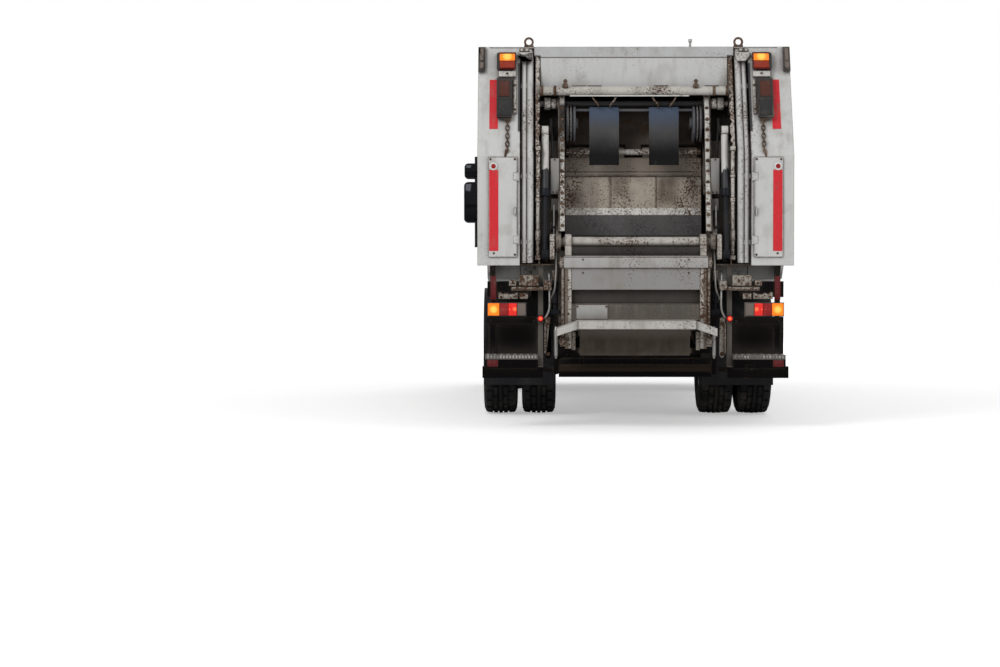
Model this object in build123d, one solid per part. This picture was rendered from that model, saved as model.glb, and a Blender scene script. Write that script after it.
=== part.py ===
from build123d import *
from math import atan2, cos, degrees, hypot, pi, radians, sin, sqrt
import os

# Refuse collection truck with a rear loader and a bin lift.
# Millimetres. X to the right seen from behind, Y forward, Z up.
# The origin is on the ground under the middle of the vehicle.

# Whole vehicle
vehicle_half_length = 3800
front_axle_y = 2430
rear_axle_y = -1420
axle_z = 505

# Wheels
tyre_radius = 505
tyre_width = 280
rim_radius = 286
front_wheel_x = 1000
rear_wheel_xs = (730, 1045)
kingpin_x = 830

# Chassis rails, channels that open inwards
rail_outer = 385
rail_inner = 310
rail_wall = 8
rail_bottom = 690
rail_top = 960
rail_rear = -2050
rail_front = 3480

# Load body
body_half_width = 1120
body_wall = 12
body_floor_z = 1100
body_roof_z = 2870
body_rear = -1690
body_front = 1750
body_corner = 250
body_sill_z = 1062

# Cab
cab_half_width = 1150
cab_wall = 55
cab_rear = 1960
cab_front = 3790
cab_side_front = 3670
cab_floor_top = 1120
cab_waist_z = 1640
cab_header_z = 2500
cab_roof_z = 2720
cab_rake = -220
cab_pivot = (3700, 700)
door_hinge = (1150, 3505)

# Tailgate, with its hinge and the trough at the bottom of the hopper
tailgate_half_width = 1200
tailgate_front = -1715
tailgate_hinge = (-1700, 2905)
column_line = ((-3430, 1240), (-3430, 2070), (-2990, 2930))
column_inner = 877
skin_outer = 1125
cheek_inner = 565
cheek_outer = 585
trough_centre = (-2650, 1480)
trough_radius = 740
trough_wall = 15

# Packer: the carriage slides along packer_slide and carries the blade's hinge
packer_hinge = (-2900, 2120)
packer_slide = (0.6, 0.8)

# Bin lift, with its cranks and its cylinders
lift_pivot = (-3430, 1420)
crank_radius = 100
crank_angle = -110
lift_cylinder_x = 685
lift_cylinder_top = (-3260, 2270)

# Cylinders that raise the tailgate
tail_cylinder_x = 1164
tail_cylinder_base = (-1150, 1750)
tail_cylinder_eye = (-2350, 2450)

pin_play = 0.1


# Helpers for forms that repeat

def span_box(x, y, z):
    # A block between two values on each axis
    return Pos((x[0] + x[1]) / 2, (y[0] + y[1]) / 2, (z[0] + z[1]) / 2) * Box(
        x[1] - x[0], y[1] - y[0], z[1] - z[0])


def side_plate(points, x_from, x_to):
    # An outline of (y, z) points, with its thickness along X
    outline = make_face(Polyline(*points, close=True))
    return extrude(Plane.YZ.offset(x_from) * outline, amount=x_to - x_from)


def front_plate(points, y_from, y_to):
    # An outline of (x, z) points, with its thickness along Y
    outline = make_face(Polyline(*points, close=True))
    return extrude(Plane.XZ.offset(-y_to) * outline, amount=y_to - y_from)


def bar_x(y, z, radius, x_from, x_to):
    return Pos((x_from + x_to) / 2, y, z) * Rot(0, 90, 0) * Cylinder(radius, abs(x_to - x_from))


def bar_y(x, z, radius, y_from, y_to):
    return Pos(x, (y_from + y_to) / 2, z) * Rot(90, 0, 0) * Cylinder(radius, abs(y_to - y_from))


def bar_z(x, y, radius, z_from, z_to):
    return Pos(x, y, (z_from + z_to) / 2) * Cylinder(radius, abs(z_to - z_from))


def along(start, end, distance):
    # The (y, z) point at a distance from start on the way to end
    length = hypot(end[0] - start[0], end[1] - start[1])
    share = distance / length
    return (start[0] + (end[0] - start[0]) * share, start[1] + (end[1] - start[1]) * share)


def strut(x, start, end, radius):
    # A round bar between two (y, z) points at one x
    dy, dz = end[0] - start[0], end[1] - start[1]
    middle = ((start[0] + end[0]) / 2, (start[1] + end[1]) / 2)
    return Pos(x, *middle) * Rot(-degrees(atan2(dy, dz)), 0, 0) * Cylinder(radius, hypot(dy, dz))


def both_sides(shape):
    return shape + mirror(shape, Plane.YZ)


def on_side(shape, side):
    # Shapes are drawn on the right, side is 1 there and -1 on the left
    return shape if side > 0 else mirror(shape, Plane.YZ)


def packer_point(distance, offset=0):
    # Along the packer's slide from its hinge, offset to the rear and up
    along_y, along_z = packer_slide
    return (packer_hinge[0] + along_y * distance - along_z * offset,
            packer_hinge[1] + along_z * distance + along_y * offset)


def column_y(z):
    # The rear face of the columns at a height: upright below, leaning forward above
    bottom, bend, top = column_line
    if z <= bend[1]:
        return bend[0]
    return bend[0] + (z - bend[1]) * (top[0] - bend[0]) / (top[1] - bend[1])


def column_strip(z_from, z_to, front, rear):
    # A strip that follows the rear face of the columns, between two depths forward of it
    bend_z = column_line[1][1]
    heights = [z_from, z_to]
    if z_from < bend_z < z_to:
        heights.insert(1, bend_z)
    back = [(column_y(z) + rear, z) for z in heights]
    fore = [(column_y(z) + front, z) for z in reversed(heights)]
    return back + fore


# Chassis

def chassis_frame():
    web = span_box((rail_outer - rail_wall, rail_outer), (rail_rear, rail_front), (rail_bottom, rail_top))
    frame = web
    for low, high in ((rail_bottom, rail_bottom + rail_wall), (rail_top - rail_wall, rail_top)):
        frame += span_box((rail_inner, rail_outer), (rail_rear, rail_front), (low, high))
    frame = both_sides(frame)
    member_half = rail_outer - rail_wall
    # Cross members: y, bottom, top
    for y, low, high in ((3420, 760, 900), (1330, 790, 930), (350, 740, 910), (-700, 740, 910),
                         (-2042, 720, 940)):
        frame += span_box((-member_half, member_half), (y, y + rail_wall), (low, high))
        for flange in (low, high - rail_wall):
            frame += span_box((-member_half, member_half), (y, y + 55), (flange, flange + rail_wall))
    # Brackets that carry the cab's front pivots
    pivot_y, pivot_z = cab_pivot
    lug = span_box((300, 340), (rail_front, pivot_y), (pivot_z - 45, pivot_z + 45))
    lug += bar_x(pivot_y, pivot_z, 45, 300, 340)
    lug += span_box((300, rail_outer), (rail_front, rail_front + 16), (600, 900))
    lug -= bar_x(pivot_y, pivot_z, 20 + pin_play, 290, 350)
    return frame + both_sides(lug)


def engine():
    block = span_box((-280, 280), (2150, 3250), (560, 1040))
    block = chamfer(block.edges().filter_by(Axis.Y), 60)
    gearbox = span_box((-170, 170), (1450, 2150), (590, 860))
    gearbox = chamfer(gearbox.edges().filter_by(Axis.Y), 50)
    mounts = Part()
    for side in (-1, 1):
        for y in (2300, 2950):
            mounts += span_box(sorted((side * 270, side * (rail_outer - rail_wall))), (y, y + 90), (780, 860))
    return block + gearbox + mounts


def radiator():
    core = span_box((-300, 300), (3300, 3380), (600, 1050))
    return core + bar_y(0, 800, 210, 3265, 3300)


def front_axle():
    y, half = front_axle_y, 40
    outline = ((0, 420), (520, 420), (700, 450), (kingpin_x, 450), (kingpin_x, 560), (690, 560),
               (500, 500), (0, 500))
    beam = front_plate(outline, y - half, y + half)
    beam += bar_z(kingpin_x, y, 50, 450, 560)
    beam -= bar_z(kingpin_x, y, 22 + pin_play, 440, 570)
    return both_sides(beam)


def rear_axle():
    y, z = rear_axle_y, axle_z
    axle = bar_x(y, z, 65, -600, 600) + bar_x(y, z, 50, -700, 700)
    axle += bar_x(y, z, 190, -110, 110) + bar_x(y, z, 150, -150, 150)
    axle += bar_y(0, z, 85, y, y + 330)
    for side in (-1, 1):
        axle += span_box(sorted((side * 305, side * 390)), (y - 60, y + 60), (z, 575))
    return axle


def leaf_springs(y, seat, pack):
    # Thick at the axle and thin at the eyes, given the height of the seat and the pack's thickness
    eye_z, eye_half, reach = 640, 16, 700
    x_from, x_to = rail_inner + 4, rail_inner + 72
    ends = (y - reach, y + reach)
    upper = ThreePointArc((ends[0], eye_z + eye_half), (y, seat + pack), (ends[1], eye_z + eye_half))
    lower = ThreePointArc((ends[0], eye_z - eye_half), (y, seat), (ends[1], eye_z - eye_half))
    sides = [Line((end, eye_z - eye_half), (end, eye_z + eye_half)) for end in ends]
    spring = extrude(Plane.YZ.offset(x_from) * make_face(Curve() + [upper, lower] + sides), amount=x_to - x_from)
    for end in ends:
        spring += bar_x(end, eye_z, 30, x_from, x_to)
        spring += span_box((x_from, x_to), (end - 22, end + 22), (eye_z, rail_bottom))
    return both_sides(spring)


def drive_shaft():
    start, end = (1430, 680), (rear_axle_y + 350, axle_z)
    shaft = strut(0, start, end, 45)
    shaft += bar_y(0, start[1], 75, start[0] - 10, start[0] + 20)
    shaft += bar_y(0, end[1], 70, end[0] - 20, end[0] + 10)
    return shaft - span_box((-99, 99), (1450, 1500), (500, 900)) - span_box(
        (-99, 99), (end[0] - 100, end[0] - 20), (400, 700))


def bumper():
    bottom, top, rear = 330, 640, 3560
    wall, corner = 60, 90
    half = cab_half_width

    def plan(offset):
        front, side = cab_front + 10 - offset, half - offset
        inner = side - corner
        return make_face(Curve() + [
            Line((-side, rear), (-side, front - 40 - corner)),
            ThreePointArc((-side, front - 40 - corner),
                          (-side + corner * 0.293, front - 40 - corner * 0.293),
                          (-inner, front - 40)),
            ThreePointArc((-inner, front - 40), (0, front), (inner, front - 40)),
            ThreePointArc((inner, front - 40), (side - corner * 0.293, front - 40 - corner * 0.293),
                          (side, front - 40 - corner)),
            Line((side, front - 40 - corner), (side, rear)),
            Line((side, rear), (-side, rear))])

    shell = extrude(Plane.XY.offset(bottom) * plan(0), amount=top - bottom)
    shell -= extrude(Plane.XY.offset(bottom - 5) * plan(wall), amount=top - bottom - 25)
    # Pockets for the head lamps and the cooling slot
    for side in (-1, 1):
        shell -= span_box(sorted((side * 760, side * 1040)), (3650, 3900), (430, 580))
        # Arms back to the rails
        shell += span_box(sorted((side * 345, side * rail_outer)), (rail_front + 16, 3760), (600, 640))
        shell += span_box(sorted((side * 345, side * rail_outer)), (rail_front + 16, rail_front + 28), (600, 900))
    shell -= span_box((-420, 420), (3700, 3900), (430, 500))
    # Gap for the tow coupling, open at the top
    shell -= span_box((-70, 70), (3650, 3900), (499, 700))
    return shell


def tow_coupling():
    # A jaw's lower lip with the hole for the tow pin, on a stalk back to the cross member
    lip, stalk, member, pin_y = 3655, 3665, 3428, 3700
    coupling = span_box((-60, 60), (lip, cab_front - 6), (505, 545))
    coupling += span_box((-40, 40), (member + 55, stalk), (505, 605))
    coupling += span_box((-90, 90), (member, member + 55), (505, 760))
    coupling -= bar_z(0, pin_y, 17, 500, 550)
    return coupling


def head_lamps():
    lamp = span_box((765, 1035), (3690, 3752), (435, 575))
    lamp = fillet(lamp.edges().filter_by(Axis.Y), 20)
    return both_sides(lamp)


def entry_steps():
    x_in, x_out, rear, front = 900, 1140, 3050, 3640
    steps = span_box((x_in, x_in + 12), (rear, front), (660, 1060))
    steps += span_box((x_in, x_in + 12), (rear, 3545), (380, 1060))
    steps += span_box((x_in, x_out), (rear, rear + 12), (380, 1060))
    steps += span_box((x_in, x_out), (3533, 3545), (380, 1060))
    steps += span_box((x_in, x_out), (3533, front), (660, 1060))
    for tread in (380, 610, 840, 1040):
        steps += span_box((x_in, x_out), (rear, 3545), (tread, tread + 20))
    steps += span_box((rail_outer, x_in), (3200, 3260), (820, 880))
    return both_sides(steps)


def arch(y, radius, wall, x_from, x_to, angle_from, angle_to):
    # A mudguard over a wheel, with angles from the front horizontal over the top
    def at(distance, angle):
        return (y + distance * cos(radians(angle)), axle_z + distance * sin(radians(angle)))

    middle = (angle_from + angle_to) / 2
    outer = radius + wall
    ring = make_face(Curve() + [
        ThreePointArc(at(outer, angle_from), at(outer, middle), at(outer, angle_to)),
        Line(at(outer, angle_to), at(radius, angle_to)),
        ThreePointArc(at(radius, angle_to), at(radius, middle), at(radius, angle_from)),
        Line(at(radius, angle_from), at(outer, angle_from))])
    return extrude(Plane.YZ.offset(x_from) * ring, amount=x_to - x_from)


def mudguards():
    rear = arch(rear_axle_y, 530, 10, 595, 1182, 12, 170)
    rear += span_box((rail_outer, 620), (-930, -895), (670, 730))
    rear += span_box((rail_outer, 620), (-1945, -1910), (670, 730))
    rear += span_box((600, 1180), (-1962, -1950), (260, 620))
    front = arch(front_axle_y, 615, 10, 870, 1140, 118, 190)
    front += span_box((rail_outer, 900), (1825, 1858), (690, 740))
    return both_sides(rear) + both_sides(front)


def fuel_tank():
    tank = span_box((460, 1080), (650, 1600), (430, 900))
    tank = fillet(tank.edges().filter_by(Axis.Y), 110)
    for y in (800, 1400):
        tank += span_box((rail_outer, 475), (y, y + 60), (720, 860))
    tank += bar_z(980, 1480, 55, 880, 930)
    return tank


def battery_box():
    box = span_box((-1080, -620), (1180, 1640), (500, 920))
    box = chamfer(box.edges().filter_by(Axis.Y), 25)
    box += span_box((-640, -rail_outer), (1300, 1500), (720, 860))
    for z in (570, 790):
        box += bar_y(-900, z, 95, 480, 1090)
    # Hangers of the two air tanks
    for y in (600, 940):
        box += span_box((-990, -rail_outer), (y, y + 14), (760, 860)) + span_box((-990, -810), (y, y + 14), (480, 880))
    return box


def side_guards():
    guard = Part()
    for z in (440, 640):
        guard += span_box((1090, 1120), (-840, 560), (z, z + 120))
    for y in (-700, 400):
        guard += span_box((1050, 1090), (y, y + 50), (440, 800))
        guard += span_box((rail_outer, 1090), (y, y + 50), (760, 800))
    return both_sides(guard)


# Front knuckles and wheels

def knuckle():
    y = front_axle_y
    fork = bar_z(kingpin_x, y, 22, 405, 605)
    for low, high in ((405, 444), (566, 605)):
        fork += bar_z(kingpin_x, y, 45, low, high)
        fork += span_box((kingpin_x, 900), (y - 40, y + 40), (low, high))
    fork += span_box((884, 904), (y - 60, y + 60), (405, 605))
    fork += bar_x(y, axle_z, 40, 900, 1000)
    # Steering arm to the rear
    fork += span_box((kingpin_x - 22, kingpin_x + 22), (y - 190, y - 30), (415, 437))
    return fork


def tyre_ring(x):
    half, bead, bulge, shoulder = tyre_width / 2, 118, tyre_width / 2, 112
    section = make_face(Curve() + [
        Line((x - bead, rim_radius), (x + bead, rim_radius)),
        ThreePointArc((x + bead, rim_radius), (x + bulge, 390), (x + 130, 470)),
        Line((x + 130, 470), (x + shoulder, 499)),
        ThreePointArc((x + shoulder, 499), (x, tyre_radius), (x - shoulder, 499)),
        Line((x - shoulder, 499), (x - 130, 470)),
        ThreePointArc((x - 130, 470), (x - half, 390), (x - bead, rim_radius))])
    return revolve(Plane.XZ * section, axis=Axis.X, revolution_arc=360)


def wheel_disc(x, outline, bore, holes=8, hole_circle=198, hole_radius=30):
    # A rim, its disc given as (x, radius) points from the barrel to the hub, and the hand holes
    section = make_face(Polyline(*[(x + a, r) for a, r in outline], close=True))
    disc = revolve(Plane.XZ * section, axis=Axis.X, revolution_arc=360)
    for step in range(holes):
        angle = 2 * pi * step / holes
        disc -= bar_x(hole_circle * cos(angle), hole_circle * sin(angle), hole_radius, x - 125, x + 125)
    return disc - bar_x(0, 0, bore, x - 200, x + 5)


front_disc = ((-118, 262), (-118, rim_radius), (118, rim_radius), (118, 266), (100, 262), (40, 255),
              (78, 160), (92, 150), (92, 92), (150, 84), (158, 60), (158, 0), (-60, 0), (-60, 95),
              (60, 95), (60, 140), (24, 252), (20, 262))
rear_outer_disc = ((-118, 262), (-118, rim_radius), (118, rim_radius), (118, 266), (100, 262),
                   (-70, 258), (-110, 160), (-125, 150), (-125, 100), (55, 92), (75, 70), (75, 0),
                   (-157.5, 0), (-157.5, 168), (-125, 172), (-90, 262))
rear_inner_disc = ((118, 262), (118, rim_radius), (-118, rim_radius), (-118, 262), (-100, 258),
                   (-100, 215), (125, 215), (157.5, 168), (157.5, 0), (-100, 0), (-100, 205),
                   (-110, 205), (-110, 262))


def front_rim():
    disc = wheel_disc(front_wheel_x, front_disc, 40 + pin_play)
    return Pos(0, front_axle_y, axle_z) * disc


def front_tyre():
    return Pos(0, front_axle_y, axle_z) * tyre_ring(front_wheel_x)


def rear_rims():
    inner_x, outer_x = rear_wheel_xs
    rims = wheel_disc(outer_x, rear_outer_disc, 30)
    barrel = ((-118, 258), (-118, rim_radius), (118, rim_radius), (118, 258), (95, 250), (135, 175),
              (157.5, 168), (157.5, 0), (-90, 0), (-90, 205), (100, 205), (70, 258))
    section = make_face(Polyline(*[(inner_x + a, r) for a, r in barrel], close=True))
    rims += revolve(Plane.XZ * section, axis=Axis.X, revolution_arc=360)
    rims -= bar_x(0, 0, 50 + pin_play, inner_x - 200, 706)
    return Pos(0, rear_axle_y, axle_z) * rims


def rear_tyres():
    tyres = Part()
    for x in rear_wheel_xs:
        tyres += tyre_ring(x)
    return Pos(0, rear_axle_y, axle_z) * tyres


# Load body

def body_floor():
    floor = span_box((-body_half_width + body_wall, body_half_width - body_wall),
                     (body_rear, body_front - body_wall), (body_floor_z - 14, body_floor_z))
    for side in (-1, 1):
        runner = span_box(sorted((side * rail_inner, side * rail_outer)),
                          (body_rear, body_front - body_wall), (rail_top, body_floor_z - 14))
        runner -= span_box(sorted((side * (rail_inner + 10), side * (rail_outer - 10))),
                           (body_rear - 1, body_front), (rail_top + 10, body_floor_z - 24))
        floor += runner
    for y in range(-1600, 1700, 550):
        for side in (-1, 1):
            if abs(y - rear_axle_y) > 560:
                floor += span_box(sorted((side * rail_outer, side * (body_half_width - body_wall))),
                                  (y, y + 50), (1010, body_floor_z - 14))
    return floor


def body_side():
    wall_top = body_roof_z - body_corner
    rear, front = body_rear + 90, body_front - body_wall
    wall = span_box((body_half_width - body_wall, body_half_width), (rear, front), (body_sill_z, wall_top))
    for y in range(-960, 1700, 530):
        rib = ((body_half_width, body_sill_z), (body_half_width + 40, body_sill_z + 30),
               (body_half_width + 40, wall_top - 40), (body_half_width, wall_top))
        wall += front_plate(rib, y, y + 90)
    wall += span_box((body_half_width, body_half_width + 40), (-960, front), (body_sill_z, 1120))
    # Boss and pin for the tailgate's cylinder
    y, z = tail_cylinder_base
    wall += bar_x(y, z, 60, body_half_width, body_half_width + 8)
    wall += bar_x(y, z, 20, body_half_width, tail_cylinder_x + 30)
    return wall


def body_section(inset):
    # The upper part of the body's cross section, with round corners
    half, top = body_half_width - inset, body_roof_z - inset
    radius = body_corner - inset
    foot = body_roof_z - body_corner
    crown = 12
    slant = radius * 0.2929
    return ((-half, foot), (-half + slant, top - crown - slant), (-half + radius, top - crown),
            (0, top), (half - radius, top - crown), (half - slant, top - crown - slant), (half, foot))


def arched(inset, foot_z, y_from, y_to):
    # A closed arch: straight down from the section's ends to foot_z
    a, b, c, d, e, f, g = body_section(inset)
    edges = [ThreePointArc(a, b, c), ThreePointArc(c, d, e), ThreePointArc(e, f, g)]
    if foot_z < a[1]:
        edges += [Line(g, (g[0], foot_z)), Line((g[0], foot_z), (a[0], foot_z)), Line((a[0], foot_z), a)]
    else:
        edges += [Line(g, a)]
    return extrude(Plane.XZ.offset(-y_to) * make_face(Curve() + edges), amount=y_to - y_from)


def body_roof():
    rear, front = body_rear + 90, body_front - body_wall
    foot = body_roof_z - body_corner
    roof = arched(0, foot, rear, front) - arched(10, foot - 1, rear - 1, front + 1)
    return roof


def body_rear_frame():
    rear, front = body_rear, body_rear + 90
    frame = arched(0, body_sill_z, rear, front) - arched(70, body_floor_z, rear - 1, front + 1)
    frame -= span_box((-2000, 2000), (rear - 1, front + 1), (1000, body_floor_z))
    y, z = tailgate_hinge
    for side in (-1, 1):
        for x in (640, 740):
            lug = side_plate(((y, z + 38), (y, z - 38), (rear, 2840), (front, 2840), (front, 2880)), x, x + 40)
            lug += bar_x(y, z, 38, x, x + 40)
            frame += on_side(lug, side)
        frame += on_side(bar_x(y, z, 20, 640, 780), side)
    return frame


def body_front_wall():
    wall = arched(0, body_sill_z, body_front - body_wall, body_front)
    for x in (-800, -400, 0, 400, 800):
        wall += span_box((x - 40, x + 40), (body_front, body_front + 35), (1100, 2600))
    return wall


def ejector_plate():
    half = 1095
    front, face_foot = 1560, 1380
    plate = side_plate(((face_foot, body_floor_z + 6), (face_foot, 1500), (front - 12, 2600),
                        (front, 2600), (face_foot + 12, 1500), (face_foot + 12, body_floor_z + 6)),
                       -half, half)
    for x in (-1080, -540, 0, 540, 1060):
        plate += side_plate(((face_foot + 12, body_floor_z + 6), (face_foot + 12, 1500), (front, 2600),
                             (front + 20, 2600), (front + 60, body_floor_z + 6)), x, x + 20)
    return plate


# Cab

def cab_plan(offset):
    # The cab's plan from its side front edges round the curved front, longer behind when it is inset
    side, back = cab_half_width - offset, cab_side_front - offset
    front, corner, bow = cab_front - offset, 80, 36
    inner = side - corner
    low = front - bow
    return [Line((-side, back), (-side, low - corner)),
            ThreePointArc((-side, low - corner), (-side + corner * 0.293, low - corner * 0.293),
                          (-inner, low)),
            ThreePointArc((-inner, low), (0, front), (inner, low)),
            ThreePointArc((inner, low), (side - corner * 0.293, low - corner * 0.293),
                          (side, low - corner)),
            Line((side, low - corner), (side, back))]


def cab_plan_face(offset):
    side, back = cab_half_width - offset, cab_side_front - offset
    return make_face(Curve() + cab_plan(offset) + [Line((side, back), (-side, back))])


def leaning(face, z_from, z_to):
    # The plan moved up along the windscreen's rake
    share = (z_from - cab_waist_z) / (cab_header_z - cab_waist_z)
    start = Pos(0, cab_rake * share, z_from) * face
    rise = z_to - z_from
    run = cab_rake * rise / (cab_header_z - cab_waist_z)
    return extrude(start, amount=hypot(rise, run), dir=(0, run, rise))


screen_half, screen_bottom, screen_top = 1010, 1700, 2440


def windscreen_frame():
    frame = leaning(cab_plan_face(0), cab_waist_z, cab_header_z)
    frame -= leaning(cab_plan_face(cab_wall), cab_waist_z, cab_header_z)
    opening = span_box((-screen_half, screen_half), (3300, 3900), (screen_bottom, screen_top))
    return frame - opening


def windscreen():
    glass = leaning(cab_plan_face(22), cab_waist_z, cab_header_z)
    glass -= leaning(cab_plan_face(30), cab_waist_z, cab_header_z)
    return glass & span_box((-screen_half, screen_half), (3300, 3900), (screen_bottom, screen_top))


def cab_front_panel():
    bottom = 760
    panel = extrude(Plane.XY.offset(bottom) * cab_plan_face(0), amount=cab_waist_z - bottom)
    panel -= extrude(Plane.XY.offset(bottom - 1) * cab_plan_face(45), amount=cab_waist_z - bottom + 2)
    # The grille: wide slots in rows, with bars left between them
    for row in range(6):
        low = 830 + row * 72
        panel -= span_box((-640 + row * 10, 640 - row * 10), (3650, 3900), (low, low + 44))
    # The plain band between grille and windscreen
    panel -= span_box((-760, 760), (cab_front - 6, 3900), (1300, 1560))
    # Arms down to the tilt pivots
    y, z = cab_pivot
    arm = side_plate(((y - 30, z), (y + 30, z), (y + 30, 1080), (y - 120, 1080), (y - 60, 900)), 345, 385)
    arm += bar_x(y, z, 45, 345, 385) + bar_x(y, z, 20, 296, 385)
    arm += span_box((345, 385), (y + 20, 3760), (900, 1000))
    return panel + both_sides(arm)


def cab_side():
    top = cab_header_z
    front_top = cab_side_front + cab_rake
    outline = ((cab_rear, 1080), (cab_side_front, 1080), (cab_side_front, cab_waist_z), (front_top, top),
               (cab_rear, top))
    panel = side_plate(outline, cab_half_width - cab_wall, cab_half_width)
    opening = ((2594, 1134), (3501, 1134), (3501, 1641), (3305, 2446), (2594, 2446))
    panel -= side_plate(opening, 1000, 1200)
    hinge_x, hinge_y = door_hinge
    panel -= bar_z(hinge_x, hinge_y, 13, 1080, 1700)
    for low in (1300, 1620 - 25):
        panel += bar_z(hinge_x, hinge_y, 8, low, low + 45)
        panel += span_box((hinge_x - 8, hinge_x), (hinge_y, hinge_y + 24), (low, low + 45))
    return panel


def cab_floor():
    side = cab_half_width - cab_wall
    floor = span_box((-side, side), (cab_rear, cab_side_front), (1080, cab_floor_top))
    return floor


def cab_rear_wall():
    side = cab_half_width - cab_wall
    wall = span_box((-side, side), (cab_rear, cab_rear + 40), (cab_floor_top, cab_header_z))
    for z in (1350, 1700, 2050, 2300):
        wall += span_box((-side + 100, side - 100), (cab_rear - 12, cab_rear), (z, z + 60))
    return wall


def cab_roof():
    start = Pos(0, cab_rake, cab_header_z) * cab_plan_face(0)
    back = span_box((-cab_half_width, cab_half_width), (cab_rear, cab_side_front + cab_rake),
                    (cab_header_z, cab_roof_z + 50))
    block = extrude(start, amount=cab_roof_z + 50 - cab_header_z) + back
    edge = 90
    side_line = ((cab_rear - 9, cab_header_z), (cab_rear - 9, 2640), (2120, cab_roof_z), (3060, cab_roof_z),
                 (3440, 2630), (3600, cab_header_z))
    end_line = ((-cab_half_width, cab_header_z), (-cab_half_width, cab_roof_z - edge),
                (-cab_half_width + edge, cab_roof_z), (cab_half_width - edge, cab_roof_z),
                (cab_half_width, cab_roof_z - edge), (cab_half_width, cab_header_z))
    outer = block & side_plate(side_line, -1300, 1300) & front_plate(end_line, 1500, 4000)
    wall = 40
    inner_half = cab_half_width - cab_wall
    inner = side_plate(((cab_rear + wall, cab_header_z - 1), (cab_rear + wall, 2610), (2130, cab_roof_z - wall),
                        (3040, cab_roof_z - wall), (3400, 2590), (3480, cab_header_z - 1)),
                       -inner_half + 20, inner_half - 20)
    return outer - inner


def dashboard():
    half = cab_half_width - cab_wall
    outline = ((3330, 1330), (3300, 1520), (3400, 1610), (3610, 1625), (3610, 1120), (3560, 1120),
               (3560, 1590), (3420, 1580), (3335, 1505), (3365, 1330))
    dash = side_plate(outline, -half, half)
    # Binnacle over the column, and the column itself
    dash += span_box((-700, -340), (3330, 3480), (1560, 1670))
    dash += strut(-520, (3360, 1400), (3196, 1581), 32)
    return dash


steering_centre, steering_normal = (3190, 1588), (-0.6715, 0.741)


def steering_wheel():
    y, z = steering_centre
    tilt = degrees(atan2(-steering_normal[0], steering_normal[1]))
    wheel = Torus(215, 15)
    wheel += Cylinder(48, 26)
    for angle in (90, 210, 330):
        wheel += Rot(0, 0, angle) * Pos(120, 0, 0) * Box(190, 34, 12)
    return Pos(-520, y, z) * Rot(tilt, 0, 0) * wheel


def seat(x_from, x_to):
    cushion = side_plate(((2330, 1480), (2330, 1590), (2860, 1600), (2890, 1560), (2890, 1480)), x_from, x_to)
    back = side_plate(((2330, 1480), (2230, 2080), (2240, 2260), (2330, 2260), (2360, 2080), (2450, 1600)),
                      x_from + 10, x_to - 10)
    return cushion + back


# Seats: left and right edge seen from behind
seat_spans = ((-790, -280), (-130, 370), (380, 880))


def seats():
    group = Part()
    for x_from, x_to in seat_spans:
        group += seat(x_from, x_to)
    return group


def seat_bases():
    bases = Part()
    for x_from, x_to in seat_spans:
        bases += span_box((x_from + 60, x_to - 60), (2380, 2820), (cab_floor_top, 1480))
        bases -= span_box((x_from + 75, x_to - 75), (2395, 2805), (cab_floor_top - 1, 1465))
    return bases


def mirrors():
    post_x, post_y = 1365, 3590
    head = span_box((1260, 1490), (3560, 3640), (1650, 2070))
    head = fillet(head.edges().filter_by(Axis.Y), 45)
    wide = span_box((1275, 1485), (3560, 3640), (2100, 2260))
    wide = fillet(wide.edges().filter_by(Axis.Y), 40)
    head += wide + bar_z(post_x, post_y + 20, 16, 1400, 2330)
    for z, reach in ((1415, 1145), (2310, 1130)):
        head += bar_x(post_y + 20, z, 16, reach, post_x + 16)
    # Feet on the front corners of the cab
    head += span_box((1130, 1170), (3560, 3650), (1370, 1460))
    head += span_box((1115, 1160), (3540, 3640), (2265, 2355))
    front_skin = extrude(Plane.XY.offset(700) * cab_plan_face(0), amount=cab_waist_z - 700)
    front_skin += span_box((0, cab_half_width), (3000, cab_side_front), (700, 2500))
    head -= front_skin
    head -= leaning(cab_plan_face(0), cab_waist_z, cab_header_z)
    return both_sides(head)


# Doors

door_outline = ((2600, 1140), (3495, 1140), (3495, 1640), (3300, 2440), (2600, 2440))
door_window = ((2680, 1690), (3420, 1690), (3245, 2370), (2680, 2370))


def door():
    panel = side_plate(door_outline, 1100, 1145)
    panel -= side_plate(door_window, 1050, 1200)
    panel -= side_plate(((2650, 1190), (3440, 1190), (3440, 1560), (2650, 1560)), 1090, 1112)
    hinge_x, hinge_y = door_hinge
    for low in (1250, 1545):
        panel += bar_z(hinge_x, hinge_y, 8, low, low + 45)
        panel += span_box((hinge_x - 10, hinge_x), (hinge_y - 25, hinge_y), (low, low + 45))
    return panel


def door_glass():
    return side_plate(door_window, 1122, 1128)


# Tailgate

def tailgate_skin():
    edge = 12
    rear = [(column_y(z) + edge, z) for z in (2918, 2070, 1252)]
    outline = [(tailgate_front, 1080), (tailgate_front, 2860)] + rear + [(-3250, 1140), (-2300, 1080)]
    skin = side_plate(outline, skin_outer - 20, skin_outer)
    y, z = tail_cylinder_eye
    skin += bar_x(y, z, 55, skin_outer, skin_outer + 8)
    return skin


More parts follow.
